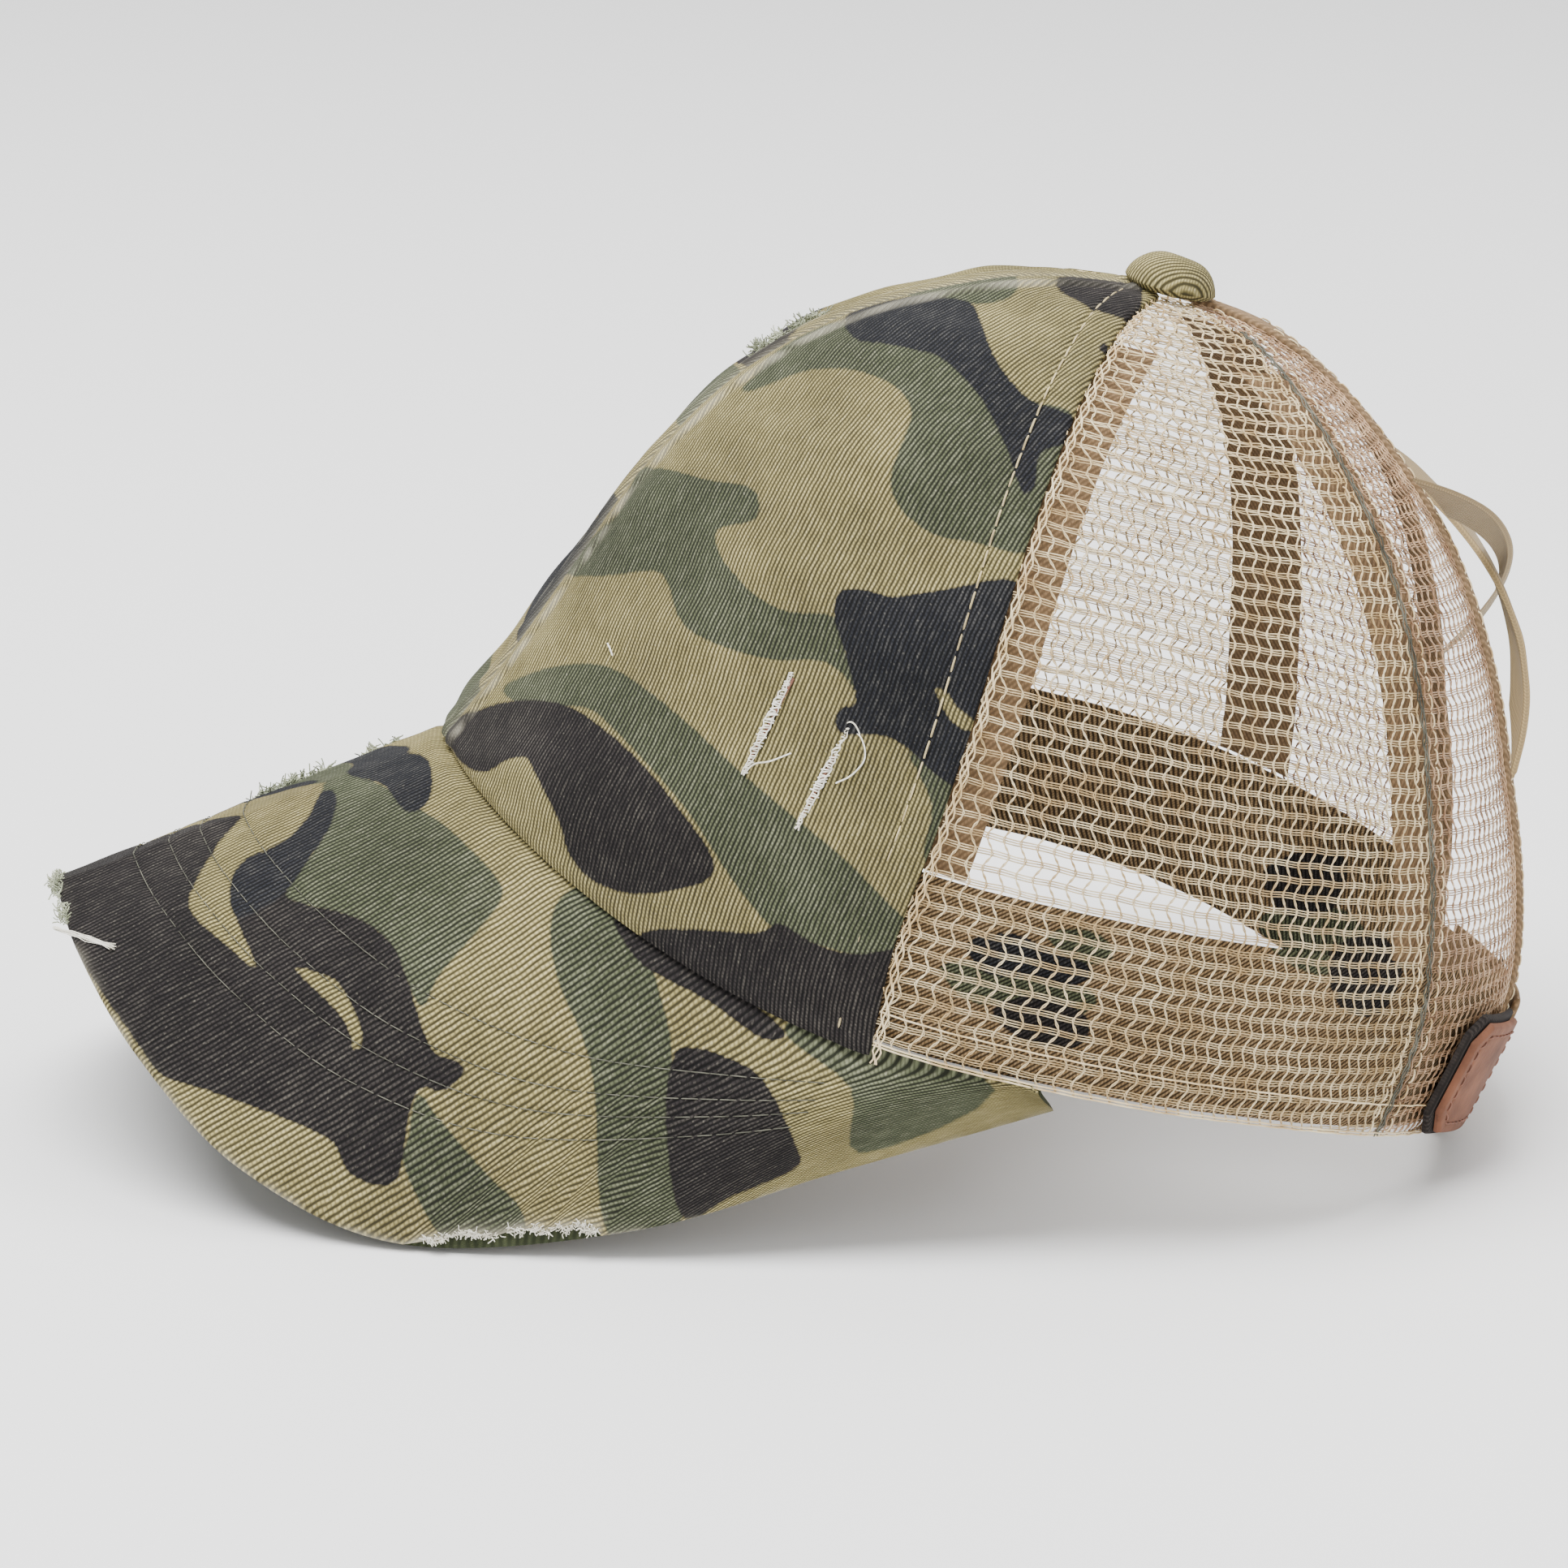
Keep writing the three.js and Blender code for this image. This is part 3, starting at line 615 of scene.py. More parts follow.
def depth_inside(outline, pixels):
    """How far points lie inside an outline, in pixels; negative outside it and limited both ways."""
    curve = smooth_outline(outline)
    low, high = curve.min(0) - FIELD_LIMIT, curve.max(0) + FIELD_LIMIT
    flat = pixels.reshape(-1, 2)
    near = np.flatnonzero(((flat > low) & (flat < high)).all(1))
    depth = np.full(len(flat), -FIELD_LIMIT)
    if len(near) == 0:
        return depth.reshape(pixels.shape[:-1])
    p = flat[near][:, None]
    start, run = curve, np.roll(curve, -1, axis=0) - curve
    offset = p - start
    along = np.clip((offset * run).sum(-1) / np.maximum((run * run).sum(-1), 1e-9), 0, 1)
    distance = np.linalg.norm(offset - along[..., None] * run, axis=-1).min(1)
    below = (p[..., 1] >= start[:, 1]) != (p[..., 1] >= start[:, 1] + run[:, 1])
    height = np.where(run[:, 1] == 0, 1e-9, run[:, 1])
    crossing = below & (offset[..., 0] < offset[..., 1] / height * run[:, 0])
    inside = crossing.sum(1) % 2 == 1
    depth[near] = np.clip(np.where(inside, distance, -distance), -FIELD_LIMIT, FIELD_LIMIT)
    return depth.reshape(pixels.shape[:-1])


def print_fields(pixels, cool, brown, green, holes=()):
    """The camouflage attributes of points, from their places in the photograph."""
    def union(outlines):
        return np.max([depth_inside(outline, pixels) for outline in outlines], axis=0)

    dark = np.maximum(union(cool), union(brown))
    if holes:
        dark = np.minimum(dark, -union(holes))
    return {"dark": dark, "cool": union(cool), "olive": union(green)}


def no_print(points):
    flat = np.full(points.shape[:-1], -FIELD_LIMIT)
    return {"dark": flat, "cool": flat, "olive": flat}


MIRROR = np.array([-1.0, 1.0, 1.0])
SIDES = {"left": 1, "right": -1}


def mirrored(points, side):
    return points if side > 0 else points * MIRROR


def sewn(place, us, vs, stitch=2.7, gap=0.6, base=0.0):
    """Stitches along a line of surface coordinates, each a short arch of thread."""
    points = place(us, vs, np.zeros(len(us)))
    length = run_lengths(points)
    starts = np.arange(0.5, length[-1] - stitch, stitch + gap)
    at = starts[:, None] + stitch * np.array([0, 0.2, 0.5, 0.8, 1])
    lifts = base + np.broadcast_to([-0.25, 0.14, 0.2, 0.14, -0.25], at.shape)
    return list(place(np.interp(at, length, us), np.interp(at, length, vs), lifts))


# Front panels

PANEL_ACROSS, PANEL_UP = 132, 200
TWILL = 1.2
SEAM_STITCH = 6.2
HIDDEN_PRINT_TURN = np.array([1800.0, 1520.0])  # pixels: the right panel's print is the left's, turned


def front_coordinates(us, vs):
    seam = FRONT_SEAM * us
    foot = climb(seam, hem_row(seam), -GAP - (BRIM_TUCK - GAP) * seam / BRIM_TEMPLE)
    row = foot * (1 - vs) + TOP_ROW * vs
    turn = beside(0.0, row, GAP / 2) * (1 - us) + beside(FRONT_SEAM, row, -GAP / 2) * us
    return turn, row


def front_panel(name, side):
    us, vs = grid(lines(PANEL_ACROSS), lines(PANEL_UP))
    turn, row = front_coordinates(us, vs)
    flat = crown(turn, row)
    cloth = cloth_lengths(flat)
    across = cloth[..., 0] - cloth[:1, :, 0]
    from_side = across[-1:] - across
    from_hem = cloth[..., 1]
    from_top = from_hem[:, -1:] - from_hem

    # Seam allowances raise the cloth beside the seams, stitches press it and its edges roll under
    ridge = 0.42 * (1 - smoothstep((from_side - 5.2) / 2.4)) + 0.7 * (1 - smoothstep((across - 3.4) / 1.6))
    pressed = 0.5 * np.exp(-((from_side - SEAM_STITCH) / 0.6) ** 2)
    seams = 0.7 * np.exp(-across / 0.7) + 0.7 * np.exp(-from_side / 0.5)
    hem_roll = 0.5 * np.exp(-((from_hem - 1.6) / 1.6) ** 2)
    soft = smoothstep(across / 12) * smoothstep(from_side / 12) * smoothstep(from_hem / 10)
    soft = soft * smoothstep(from_top / 14)
    puckers = 0.1 * np.sin(from_hem * 2 * pi / 6.5 + 2 * ripple(flat, 30, 5)) * np.exp(-from_side / 7)
    lift = ridge + hem_roll - pressed - seams + puckers + 0.45 * soft * ripple(flat, 38, 3 + side)
    lift = lift + 0.2 * soft * ripple(flat, 13, 8 + side)
    pixels = to_pixels(flat)
    if side < 0:
        pixels = HIDDEN_PRINT_TURN - pixels
    fields = print_fields(pixels, CROWN_COOL, CROWN_BROWN, CROWN_GREEN, CROWN_HOLES)
    wear = 0.5 * np.exp(-((across - 4.0) / 0.9) ** 2) * (0.55 + 0.45 * np.sin(3 * ripple(flat, 14, 4)))
    wear = np.clip(wear + 0.3 * np.exp(-across / 1.0), 0, 1)
    outer = mirrored(crown(turn, row, lift), side)
    inner = mirrored(crown(turn, row, np.minimum(lift * 0.3, 0) - TWILL), side)
    panel = sheet(name, outer, inner, cloth=cloth, wear=wear, **fields)
    finish(panel, "camo_twill", crown_twill, name.replace("_cloth", ""))


def seam_stitches():
    paths = []
    vs = lines(160, 0.004, 0.985)
    row = seam_rows(FRONT_SEAM, vs)
    turn = beside(FRONT_SEAM, row, -SEAM_STITCH - GAP / 2)
    for side in SIDES.values():
        paths += [mirrored(p, side) for p in sewn(crown, turn, row, 3.0, 0.8, -0.1)]
    finish(strands("front_topstitch", paths, 0.2, 5, tan_thread), "camo_twill", tan_thread)


for side_name, side in SIDES.items():
    front_panel(f"front_panel_{side_name}_cloth", side)
seam_stitches()


# Brim

BRIM_ACROSS, BRIM_OUT = 300, 110
BRIM_CLOTH, BRIM_THICKNESS, BRIM_UNDER = 1.3, 3.7, 2.5
STITCH_ROWS = (0.8, 0.71, 0.63, 0.52)
EDGE_ROUND = 1.1
ROWS_REACH, ROWS_BEND, BEND_START = 0.82, 0.17, 0.55

# In pixels: where the torn edge starts and ends, and the hidden half's shift of the print, for each
# millimetre to the side
TEAR_FROM, TEAR_TO = 505.0, 740.0
HIDDEN_PRINT_SHIFT = np.array([3.2, -1.1])


def brim_pixels(points):
    """Photograph pixels of brim points; the hidden right half repeats the left one, shifted."""
    aside = -np.minimum(points[..., :1], 0)
    pixels = to_pixels(np.where(points[..., :1] < 0, points * MIRROR, points))
    return pixels + aside * HIDDEN_PRINT_SHIFT


def tear(us):
    """How far the worn edge is torn back, in millimetres."""
    edge = to_pixels(brim(us, np.ones_like(us)))
    share = (edge[:, 0] - TEAR_FROM) / (TEAR_TO - TEAR_FROM)
    open_here = np.where((us > 0) & (share > 0) & (share < 1), np.sin(pi * np.clip(share, 0, 1)) ** 0.4, 0)
    jagged = np.sin(us * 190) + 0.7 * np.sin(us * 420 + 1) + 0.4 * np.sin(us * 900)
    return open_here * (3.3 + 0.55 * jagged)


def brim_length(us):
    """The brim's length from the crown to its edge."""
    return np.linalg.norm(brim_line(us, 1.0) - brim_line(us, 0.0), axis=-1)


def stitch_row(v, us):
    """A row of stitches that crosses the brim's middle at v and bends to the crown at the sides."""
    return v - ROWS_BEND * (np.abs(us) / BEND_START) ** 1.5


def stitch_grooves(us, vs, length):
    """1 where a row of stitches presses the cloth down."""
    deep = 0
    for v in STITCH_ROWS:
        off_row = np.abs(vs - stitch_row(v, us)) * length
        deep = deep + np.exp(-(off_row / 0.75) ** 2) * (np.abs(us) < ROWS_REACH)
    return deep


def brim_lengths(face):
    """The brim laid flat: distance round its curve from its middle, and distance ahead."""
    aside = run_lengths(face[..., [0, 2]])
    aside = aside - aside[face.shape[0] // 2]
    return np.stack([aside, -face[..., 1], np.zeros_like(aside)], -1)


def brim_cloth():
    us_line = lines(BRIM_ACROSS, -1, 1)
    us, vs = grid(us_line, 1 - (1 - lines(BRIM_OUT)) ** 1.25)
    length = brim_length(us)
    torn = tear(us_line)[:, None]
    root = -BRIM_UNDER / length
    vs = root + vs * (1 - torn / length - root)
    flat = brim(us, vs)
    cloth = brim_lengths(flat)
    from_edge = (1 - vs) * length - torn
    from_crown = np.maximum(vs * length, 0)
    lift = smoothstep(from_crown / 3.2) - 1 - EDGE_ROUND * rounding(from_edge / EDGE_ROUND)
    lift = lift + 0.12 * ripple(flat, 16, 31) * smoothstep(from_edge / 6) * smoothstep(from_crown / 8)
    lift = lift - 0.28 * stitch_grooves(us, vs, length)
    fields = print_fields(brim_pixels(flat), BRIM_COOL, BRIM_BROWN, BRIM_GREEN, BRIM_HOLES)
    rough = 0.5 + 0.5 * np.sin(2.5 * ripple(flat, 12, 17))
    wear = 0.6 * np.exp(-from_edge / 0.5) * rough + (torn > 0.3) * np.exp(-from_edge / 0.9)
    piece = sheet("brim_top_cloth", brim(us, vs, lift), brim(us, vs, np.full(us.shape, -BRIM_CLOTH)),
                  cloth=cloth, wear=np.clip(wear, 0, 1), **fields)
    finish(piece, "camo_twill", brim_twill, "brim_top")


def brim_lining():
    us, vs = grid(lines(200, -1, 1), 1 - (1 - lines(60)) ** 1.25)
    length = brim_length(us)
    from_edge = (1 - vs) * length
    curl = 1 - rounding(from_edge / 1.6)
    base = brim(us, vs)
    low = -BRIM_CLOTH - 0.1 - (BRIM_THICKNESS - BRIM_CLOTH - 0.1) * curl
    low = low + 0.3 * stitch_grooves(us, vs, length)
    piece = sheet("brim_lining_cloth", brim(us, vs, np.full(us.shape, -BRIM_CLOTH - 0.05)),
                  brim(us, vs, low), cloth=cloth_lengths(base))
    finish(piece, "olive_cloth", olive_twill, "brim_underside")


def brim_stitches():
    def below(u, v, lift):
        return brim(u, v, -BRIM_THICKNESS + 0.12 - lift)

    paths = []
    us = lines(500, -0.8, 0.8)
    for place, stitch, gap, base in ((brim, 3.2, 0.12, -0.2), (below, 2.2, 0.5, 0.0)):
        for v in STITCH_ROWS:
            vs = stitch_row(v, us)
            kept = vs > 0.04
            paths += sewn(place, us[kept], vs[kept], stitch, gap, base)
    finish(strands("brim_stitches", paths, 0.1, 4, olive_thread), "camo_twill", olive_thread)


brim_cloth()
brim_lining()
brim_stitches()


# Net: wales of looped yarn that zigzag up the cap, crossed by courses of three yarns

WALE_PITCH, COURSE_PITCH, YARN_PITCH = 2.3, 2.75, 0.42
WALE_SWING, WALE_DEPTH, COURSE_DEPTH = 0.5, 0.3, 0.55
YARN = 0.13  # its radius
NET_REACH = 62  # how far a panel's net is laid out to either side of its middle, before it is cut
SLIT_HALF_WIDTH, SLIT_TOP, SLIT_CURVE, BINDING_WIDTH = 23.0, 0.93, 3.2, 6.0


def slit_half(row):
    share = np.maximum(between(CROWN_ROWS[:, UP], row), 0) / SLIT_TOP
    return SLIT_HALF_WIDTH * np.maximum(1 - share ** SLIT_CURVE, 0)


def binding_width(row):
    return np.minimum(BINDING_WIDTH, 0.3 * np.linalg.norm(slopes(BACK, row)[0], axis=-1))


def from_back(row, distance):
    return beside(BACK, row, -distance)


def net_place(middle):
    heights = run_lengths(on_crown(middle, ROW_STEPS))

    def place(across, height):
        row = np.interp(height, heights, ROW_STEPS)
        return beside(middle, row, across), row

    return place, heights[-1]


def runs(keep):
    """Starts and ends of the stretches in which keep holds."""
    steps = np.flatnonzero(np.diff(np.concatenate([[0], keep.astype(int), [0]])))
    return [(a, b) for a, b in zip(steps[::2], steps[1::2]) if b - a > 1]


def net_panel(name, middle, front_edge, rear_edge, side, node, colour):
    place, height = net_place(middle)
    paths = []

    def trace(across, up, lift):
        turn, row = place(across, up)
        keep = (row > hem_row(turn) + 0.02) & (row < TOP_ROW)
        keep &= (turn > front_edge(row)) & (turn < rear_edge(row))
        points = mirrored(crown(turn, row, lift), side)
        paths.extend(points[a:b] for a, b in runs(keep))

    for k in range(int(-NET_REACH / WALE_PITCH), int(NET_REACH / WALE_PITCH) + 1):
        up = np.arange(0, height, COURSE_PITCH / 4)
        swing = WALE_SWING * np.sin(pi * up / COURSE_PITCH)
        for twist in (0, pi):
            lap = 2 * pi * up / COURSE_PITCH + twist
            trace(k * WALE_PITCH + swing + YARN * np.cos(lap), up, YARN * np.sin(lap) - WALE_DEPTH)
    for j in range(int(height / COURSE_PITCH)):
        across = np.arange(-NET_REACH, NET_REACH, WALE_PITCH / 2)
        for yarn_number, offset in enumerate((-YARN_PITCH, 0.0, YARN_PITCH)):
            weave = 0.16 * np.sin(pi * across / WALE_PITCH + yarn_number * 2 + j)
            up = (j + 0.5) * COURSE_PITCH + offset + 0.1 * np.sin(across * 0.8 + j)
            trace(across, np.maximum(up, 0), weave - COURSE_DEPTH)
    finish(strands(name, paths, YARN, 3, colour), "tan_net", colour, node)


def beside_seam(seam, distance):
    return lambda row: beside(seam, row, distance)


def net_edge(row):
    return from_back(row, slit_half(row) + binding_width(row) * 0.5)


for side_name, side in SIDES.items():
    net_panel(f"side_mesh_{side_name}_yarn", (FRONT_SEAM + REAR_SEAM) / 2, beside_seam(FRONT_SEAM, -0.3),
              beside_seam(REAR_SEAM, 0.3), side, f"side_mesh_{side_name}", tan_net_yarn)
    net_panel(f"rear_mesh_{side_name}_yarn", (REAR_SEAM + BACK) / 2, beside_seam(REAR_SEAM, -0.3), net_edge,
              side, f"rear_mesh_{side_name}", rosy_net_yarn)


# Sweatband, seam tapes, bindings and straps

def strip(name, place, sides, thickness, across, up, slot, material, node,
          fields=None, **extra):
    """A strip of cloth with softened edges. place(u, v, lift) raises a point from its outer face."""
    us, vs = grid(lines(across), lines(up))
    flat = place(us, vs, np.zeros_like(us))
    cloth = cloth_lengths(flat)
    thin = rounding(np.minimum(np.minimum(us, 1 - us) / sides[0], np.minimum(vs, 1 - vs) / sides[1]))
    waves = 0.06 * ripple(flat, 14, len(name))
    outer = place(us, vs, waves - thin * thickness * 0.35)
    inner = place(us, vs, waves * 0.5 - thickness + thin * thickness * 0.35)
    if fields:
        extra.update(fields(flat))
    piece = sheet(name, outer, inner, cloth=cloth, **extra)
    finish(piece, slot, material, node)


SWEATBAND, SWEATBAND_HEIGHT, SWEATBAND_LIFT = 1.6, 30.0, 1.0
LINER_DEPTH = TWILL + LAYER_GAP
TAPE, TAPE_WIDTH, TAPE_TOP_ROW = 1.0, 15.0, 8.1


def hem_climb(turn, distance):
    return climb(turn, hem_row(turn), distance)


def sweatband_place(us, vs, lift):
    end = from_back(1.0, SLIT_HALF_WIDTH + GAP / 2)
    turn = -end + 2 * end * us
    return crown(turn, hem_climb(turn, SWEATBAND_LIFT + vs * SWEATBAND_HEIGHT), lift - LINER_DEPTH)


def sweatband_print_and_shadow(points):
    return print_fields(to_pixels(points), SWEATBAND_DARK_PRINT_AND_SHADOW[:1], SWEATBAND_DARK_PRINT_AND_SHADOW, SWEATBAND_GREEN)


# Dark outlines on the sweatband: the first two are print; the third paints the shadow inside the far side
# of the cap as a dark patch; the fourth darkens the band further back.
SWEATBAND_DARK_PRINT_AND_SHADOW = [
    [(1190, 1160), (1250, 1150), (1300, 1175), (1345, 1190), (1330, 1215), (1270, 1205), (1215, 1200)],
    [(1225, 1240), (1290, 1225), (1340, 1255), (1330, 1290), (1270, 1285), (1235, 1265)],
    [(1560, 1075), (1620, 1045), (1665, 1060), (1650, 1120), (1590, 1130)],
    [(1640, 1180), (1700, 1150), (1730, 1190), (1700, 1250), (1650, 1240)]]
SWEATBAND_GREEN = [
    [(1160, 1190), (1230, 1190), (1300, 1210), (1350, 1225), (1330, 1250), (1270, 1232), (1200, 1235)],
    [(1290, 1150), (1350, 1150), (1370, 1180), (1330, 1185)],
    [(1560, 1130), (1650, 1120), (1690, 1160), (1640, 1200), (1580, 1180)]]

strip("sweatband_cloth", sweatband_place, (0.004, 0.06), SWEATBAND, 260, 26, "tan_cloth", liner_twill,
      "sweatband", fields=sweatband_print_and_shadow, wear=np.zeros((260, 26)))


def tape_place(seam):
    def place(us, vs, lift):
        distance = (us - 0.5) * TAPE_WIDTH
        low = beside(seam, hem_row(seam), distance)
        foot = hem_climb(low, SWEATBAND_LIFT + SWEATBAND_HEIGHT + 2 * GAP)
        row = foot * (1 - vs) + TAPE_TOP_ROW * vs
        return crown(beside(seam, row, distance), row, lift - LINER_DEPTH)
    return place


TAPES = {"front_seam_tape": 0.0, "side_seam_tape_left": FRONT_SEAM, "side_seam_tape_right": -FRONT_SEAM,
         "rear_seam_tape_left": REAR_SEAM, "rear_seam_tape_right": -REAR_SEAM}
for tape_name, seam in TAPES.items():
    strip(f"{tape_name}_cloth", tape_place(seam), (0.12, 0.02), TAPE, 24, 90, "tan_cloth", tan_tape,
          tape_name)


BINDING, BINDING_PROUD = 1.9, 0.7
BAND_WIDTH, BAND, BAND_TOP, BAND_FOOT = 17.0, 1.3, 0.8, 0.5
OUTER_BAND_BULGE, INNER_BAND_BULGE = 8.5, 4.0
STRAP_HEIGHT, STRAP, STRAP_SHORTFALL = 25.0, 1.4, 4.0


def binding_place(side):
    def place(us, vs, lift):
        row = seam_rows(BACK, vs)
        distance = slit_half(row) + GAP / 2 + us * binding_width(row)
        return mirrored(crown(from_back(row, distance), row, lift + BINDING_PROUD), side)
    return place


for side_name, side in SIDES.items():
    strip(f"slit_binding_{side_name}_cloth", binding_place(side), (0.3, 0.01), BINDING, 18, 160,
          "tan_cloth", tan_tape, f"slit_binding_{side_name}")


def band_place(bulge, side):
    top_row, foot_row = np.interp([BAND_TOP, BAND_FOOT], UP_STEPS, ROW_STEPS)
    top_x = slit_half(top_row) + BINDING_WIDTH
    foot_x = slit_half(foot_row) + BINDING_WIDTH
    length = np.linalg.norm(on_crown(BACK, top_row) - on_crown(BACK, foot_row))
    slope = np.arctan2(length, top_x + foot_x)

    def place(us, vs, lift):
        aside = (vs - 0.5) * BAND_WIDTH
        distance = top_x + (-foot_x - top_x) * us + aside * np.sin(slope)
        row = climb(BACK, top_row + (foot_row - top_row) * us, aside * np.cos(slope))
        raised = BINDING_PROUD + LAYER_GAP + bulge * np.sin(pi * us) + BAND + lift
        return mirrored(crown(from_back(row, distance), row, raised), side)
    return place


for band_name, bulge, side in (("outer", OUTER_BAND_BULGE, 1), ("inner", INNER_BAND_BULGE, -1)):
    strip(f"cross_band_{band_name}_knit", band_place(bulge, side), (0.02, 0.08), BAND, 90, 30,
          "tan_elastic", knit_elastic, f"cross_band_{band_name}")


def strap_place(start, end, depth):
    def place(us, vs, lift):
        turn = from_back(1.0, start + (end - start) * us)
        return crown(turn, hem_climb(turn, vs * STRAP_HEIGHT), lift - depth)
    return place


OUTER_STRAP_DEPTH = -BINDING_PROUD - LAYER_GAP - STRAP
inner_end = SLIT_HALF_WIDTH - GAP
strip("closure_strap_inner_cloth", strap_place(inner_end, -inner_end, LINER_DEPTH), (0.03, 0.06), STRAP,
      90, 40, "tan_cloth", tan_tape, "closure_strap_inner")
strip("closure_strap_outer_cloth",
      strap_place(SLIT_HALF_WIDTH + BINDING_WIDTH, STRAP_SHORTFALL - SLIT_HALF_WIDTH,
                  OUTER_STRAP_DEPTH), (0.02, 0.06), STRAP, 130, 40, "tan_cloth", tan_tape,
      "closure_strap_outer")


# Leather patch and the hook tape under it

HOOK_TAPE, HOOK_BORDER, PATCH, PATCH_CLEARANCE, PATCH_BESIDE = 1.2, 1.0, 1.2, 0.7, 1.2
PATCH_WIDTH, PATCH_HEIGHT, CORNER = 28.0, 22.0, 4.0
STITCH_INSET, CORNER_INSET = 2.2, 1.4


def plate_place(clearance):
    """Bends millimetres along and up the patch round the net, beside the outer strap."""
    turn = from_back(1.0, SLIT_HALF_WIDTH + BINDING_WIDTH + PATCH_BESIDE + HOOK_BORDER + PATCH_WIDTH / 2)
    row = hem_climb(turn, STRAP_HEIGHT / 2)
    around, upward = slopes(turn, row)
    outward = unit(np.cross(around, upward))
    rise = unit(upward)
    sideways = unit(np.cross(rise, outward))
    sideways = sideways * np.sign(sideways @ around)
    bend = SIDE_REACH ** 2 / BACK_REACH
    base = on_crown(turn, row)

    def place(along, up, lift):
        angle = along / bend
        away = clearance + lift - bend * (1 - np.cos(angle))
        return (base + outward * away[..., None] + sideways * (bend * np.sin(angle))[..., None]
                + rise * up[..., None])
    return place


def plate(name, width, height, clearance, thickness, slot, material, node, edge):
    us, vs = grid(lines(120, -1, 1), lines(64, -1, 1))
    half_w, half_h = width / 2, height / 2
    cut = np.maximum(np.abs(us) * half_w + np.abs(vs) * half_h - (half_w + half_h - CORNER), 0) / 2
    along = np.sign(us) * (np.abs(us) * half_w - cut)
    up = np.sign(vs) * (np.abs(vs) * half_h - cut)
    inset = np.minimum(np.minimum(half_w - np.abs(along), half_h - np.abs(up)),
                       (half_w + half_h - CORNER - np.abs(along) - np.abs(up)) / sqrt(2))
    groove = 0.2 * np.exp(-((inset - STITCH_INSET) / 0.35) ** 2) if slot == "brown_leather" else 0
    place = plate_place(clearance)
    top = place(along, up, thickness - edge * rounding(inset / edge) - groove)
    cloth = np.stack([along, up, np.zeros_like(up)], -1)
    piece = sheet(name, top, place(along, up, np.zeros_like(up)), cloth=cloth)
    finish(piece, slot, material, node)


plate("hook_tape_black", PATCH_WIDTH + 2 * HOOK_BORDER, PATCH_HEIGHT + 2 * HOOK_BORDER, PATCH_CLEARANCE,
      HOOK_TAPE, "black_hook", black_hook, "hook_tape", 0.5)
plate("leather_patch_bare", PATCH_WIDTH, PATCH_HEIGHT, PATCH_CLEARANCE + HOOK_TAPE + GAP, PATCH,
      "brown_leather", brown_leather, "leather_patch", 0.6)


def patch_stitches():
    half_w, half_h = PATCH_WIDTH / 2 - STITCH_INSET, PATCH_HEIGHT / 2 - STITCH_INSET
    corner = CORNER - CORNER_INSET
    loop = np.array([(half_w - corner, -half_h), (half_w, corner - half_h), (half_w, half_h - corner),
                     (half_w - corner, half_h), (corner - half_w, half_h), (-half_w, half_h - corner),
                     (-half_w, corner - half_h), (corner - half_w, -half_h), (half_w - corner, -half_h)])
    steps = np.linspace(0, len(loop) - 1, 400)
    along = np.interp(steps, np.arange(len(loop)), loop[:, 0])
    up = np.interp(steps, np.arange(len(loop)), loop[:, 1])
    place = plate_place(PATCH_CLEARANCE + HOOK_TAPE + GAP + PATCH)
    paths = sewn(place, along, up, 2.0, 0.6, -0.08)
    finish(strands("patch_stitches", paths, 0.17, 5, brown_thread_and_slit_shadow), "brown_leather", brown_thread_and_slit_shadow)


patch_stitches()


# Button: twill pulled over a dome

BUTTON_RADIUS, BUTTON_HEIGHT = 8.4, 6.2


def button():
    angle = lines(36, 0.1) * pi / 2
    radius = np.concatenate([[0, 0.5, 0.9], np.cos(angle) ** 0.8]) * BUTTON_RADIUS
    rise = np.concatenate([[0, 0, 0], np.sin(angle)]) * BUTTON_HEIGHT
    around = np.arange(72)[:, None] / 72 * 2 * pi
    local = np.stack([radius * np.cos(around), radius * np.sin(around), rise + 0 * around], -1)
    local[..., 2] += 0.12 * ripple(local, 9, 2) * (rise > 0)
    points = to_scene(on_crown(0.0, 10.0) + np.array([0, 0, GAP]) + local).reshape(-1, 3)
    across, up = local.shape[:2]
    i, j = np.meshgrid(np.arange(across), np.arange(up - 1), indexing="ij")
    after = (i + 1) % across
    faces = np.stack([i * up + j, after * up + j, after * up + j + 1, i * up + j + 1], -1).reshape(-1, 4)
    piece = new_object("button_cloth", points.tolist(), faces.tolist())
    flat = local.reshape(-1, 3) * np.array([1.1, 1.1, 0])
    set_attribute(piece, "cloth", flat)
    set_attribute(piece, "wear", np.zeros(len(flat)))
    for key, values in no_print(flat).items():
        set_attribute(piece, key, values)
    shape = bmesh.new()
    shape.from_mesh(piece.data)
    bmesh.ops.remove_doubles(shape, verts=shape.verts, dist=1e-6)
    shape.to_mesh(piece.data)
    shape.free()
    piece.data.shade_smooth()
    finish(piece, "camo_twill", crown_twill, "button")


button()


# Seams of the net: a row of stitches on either side, and the folded edge at the hem

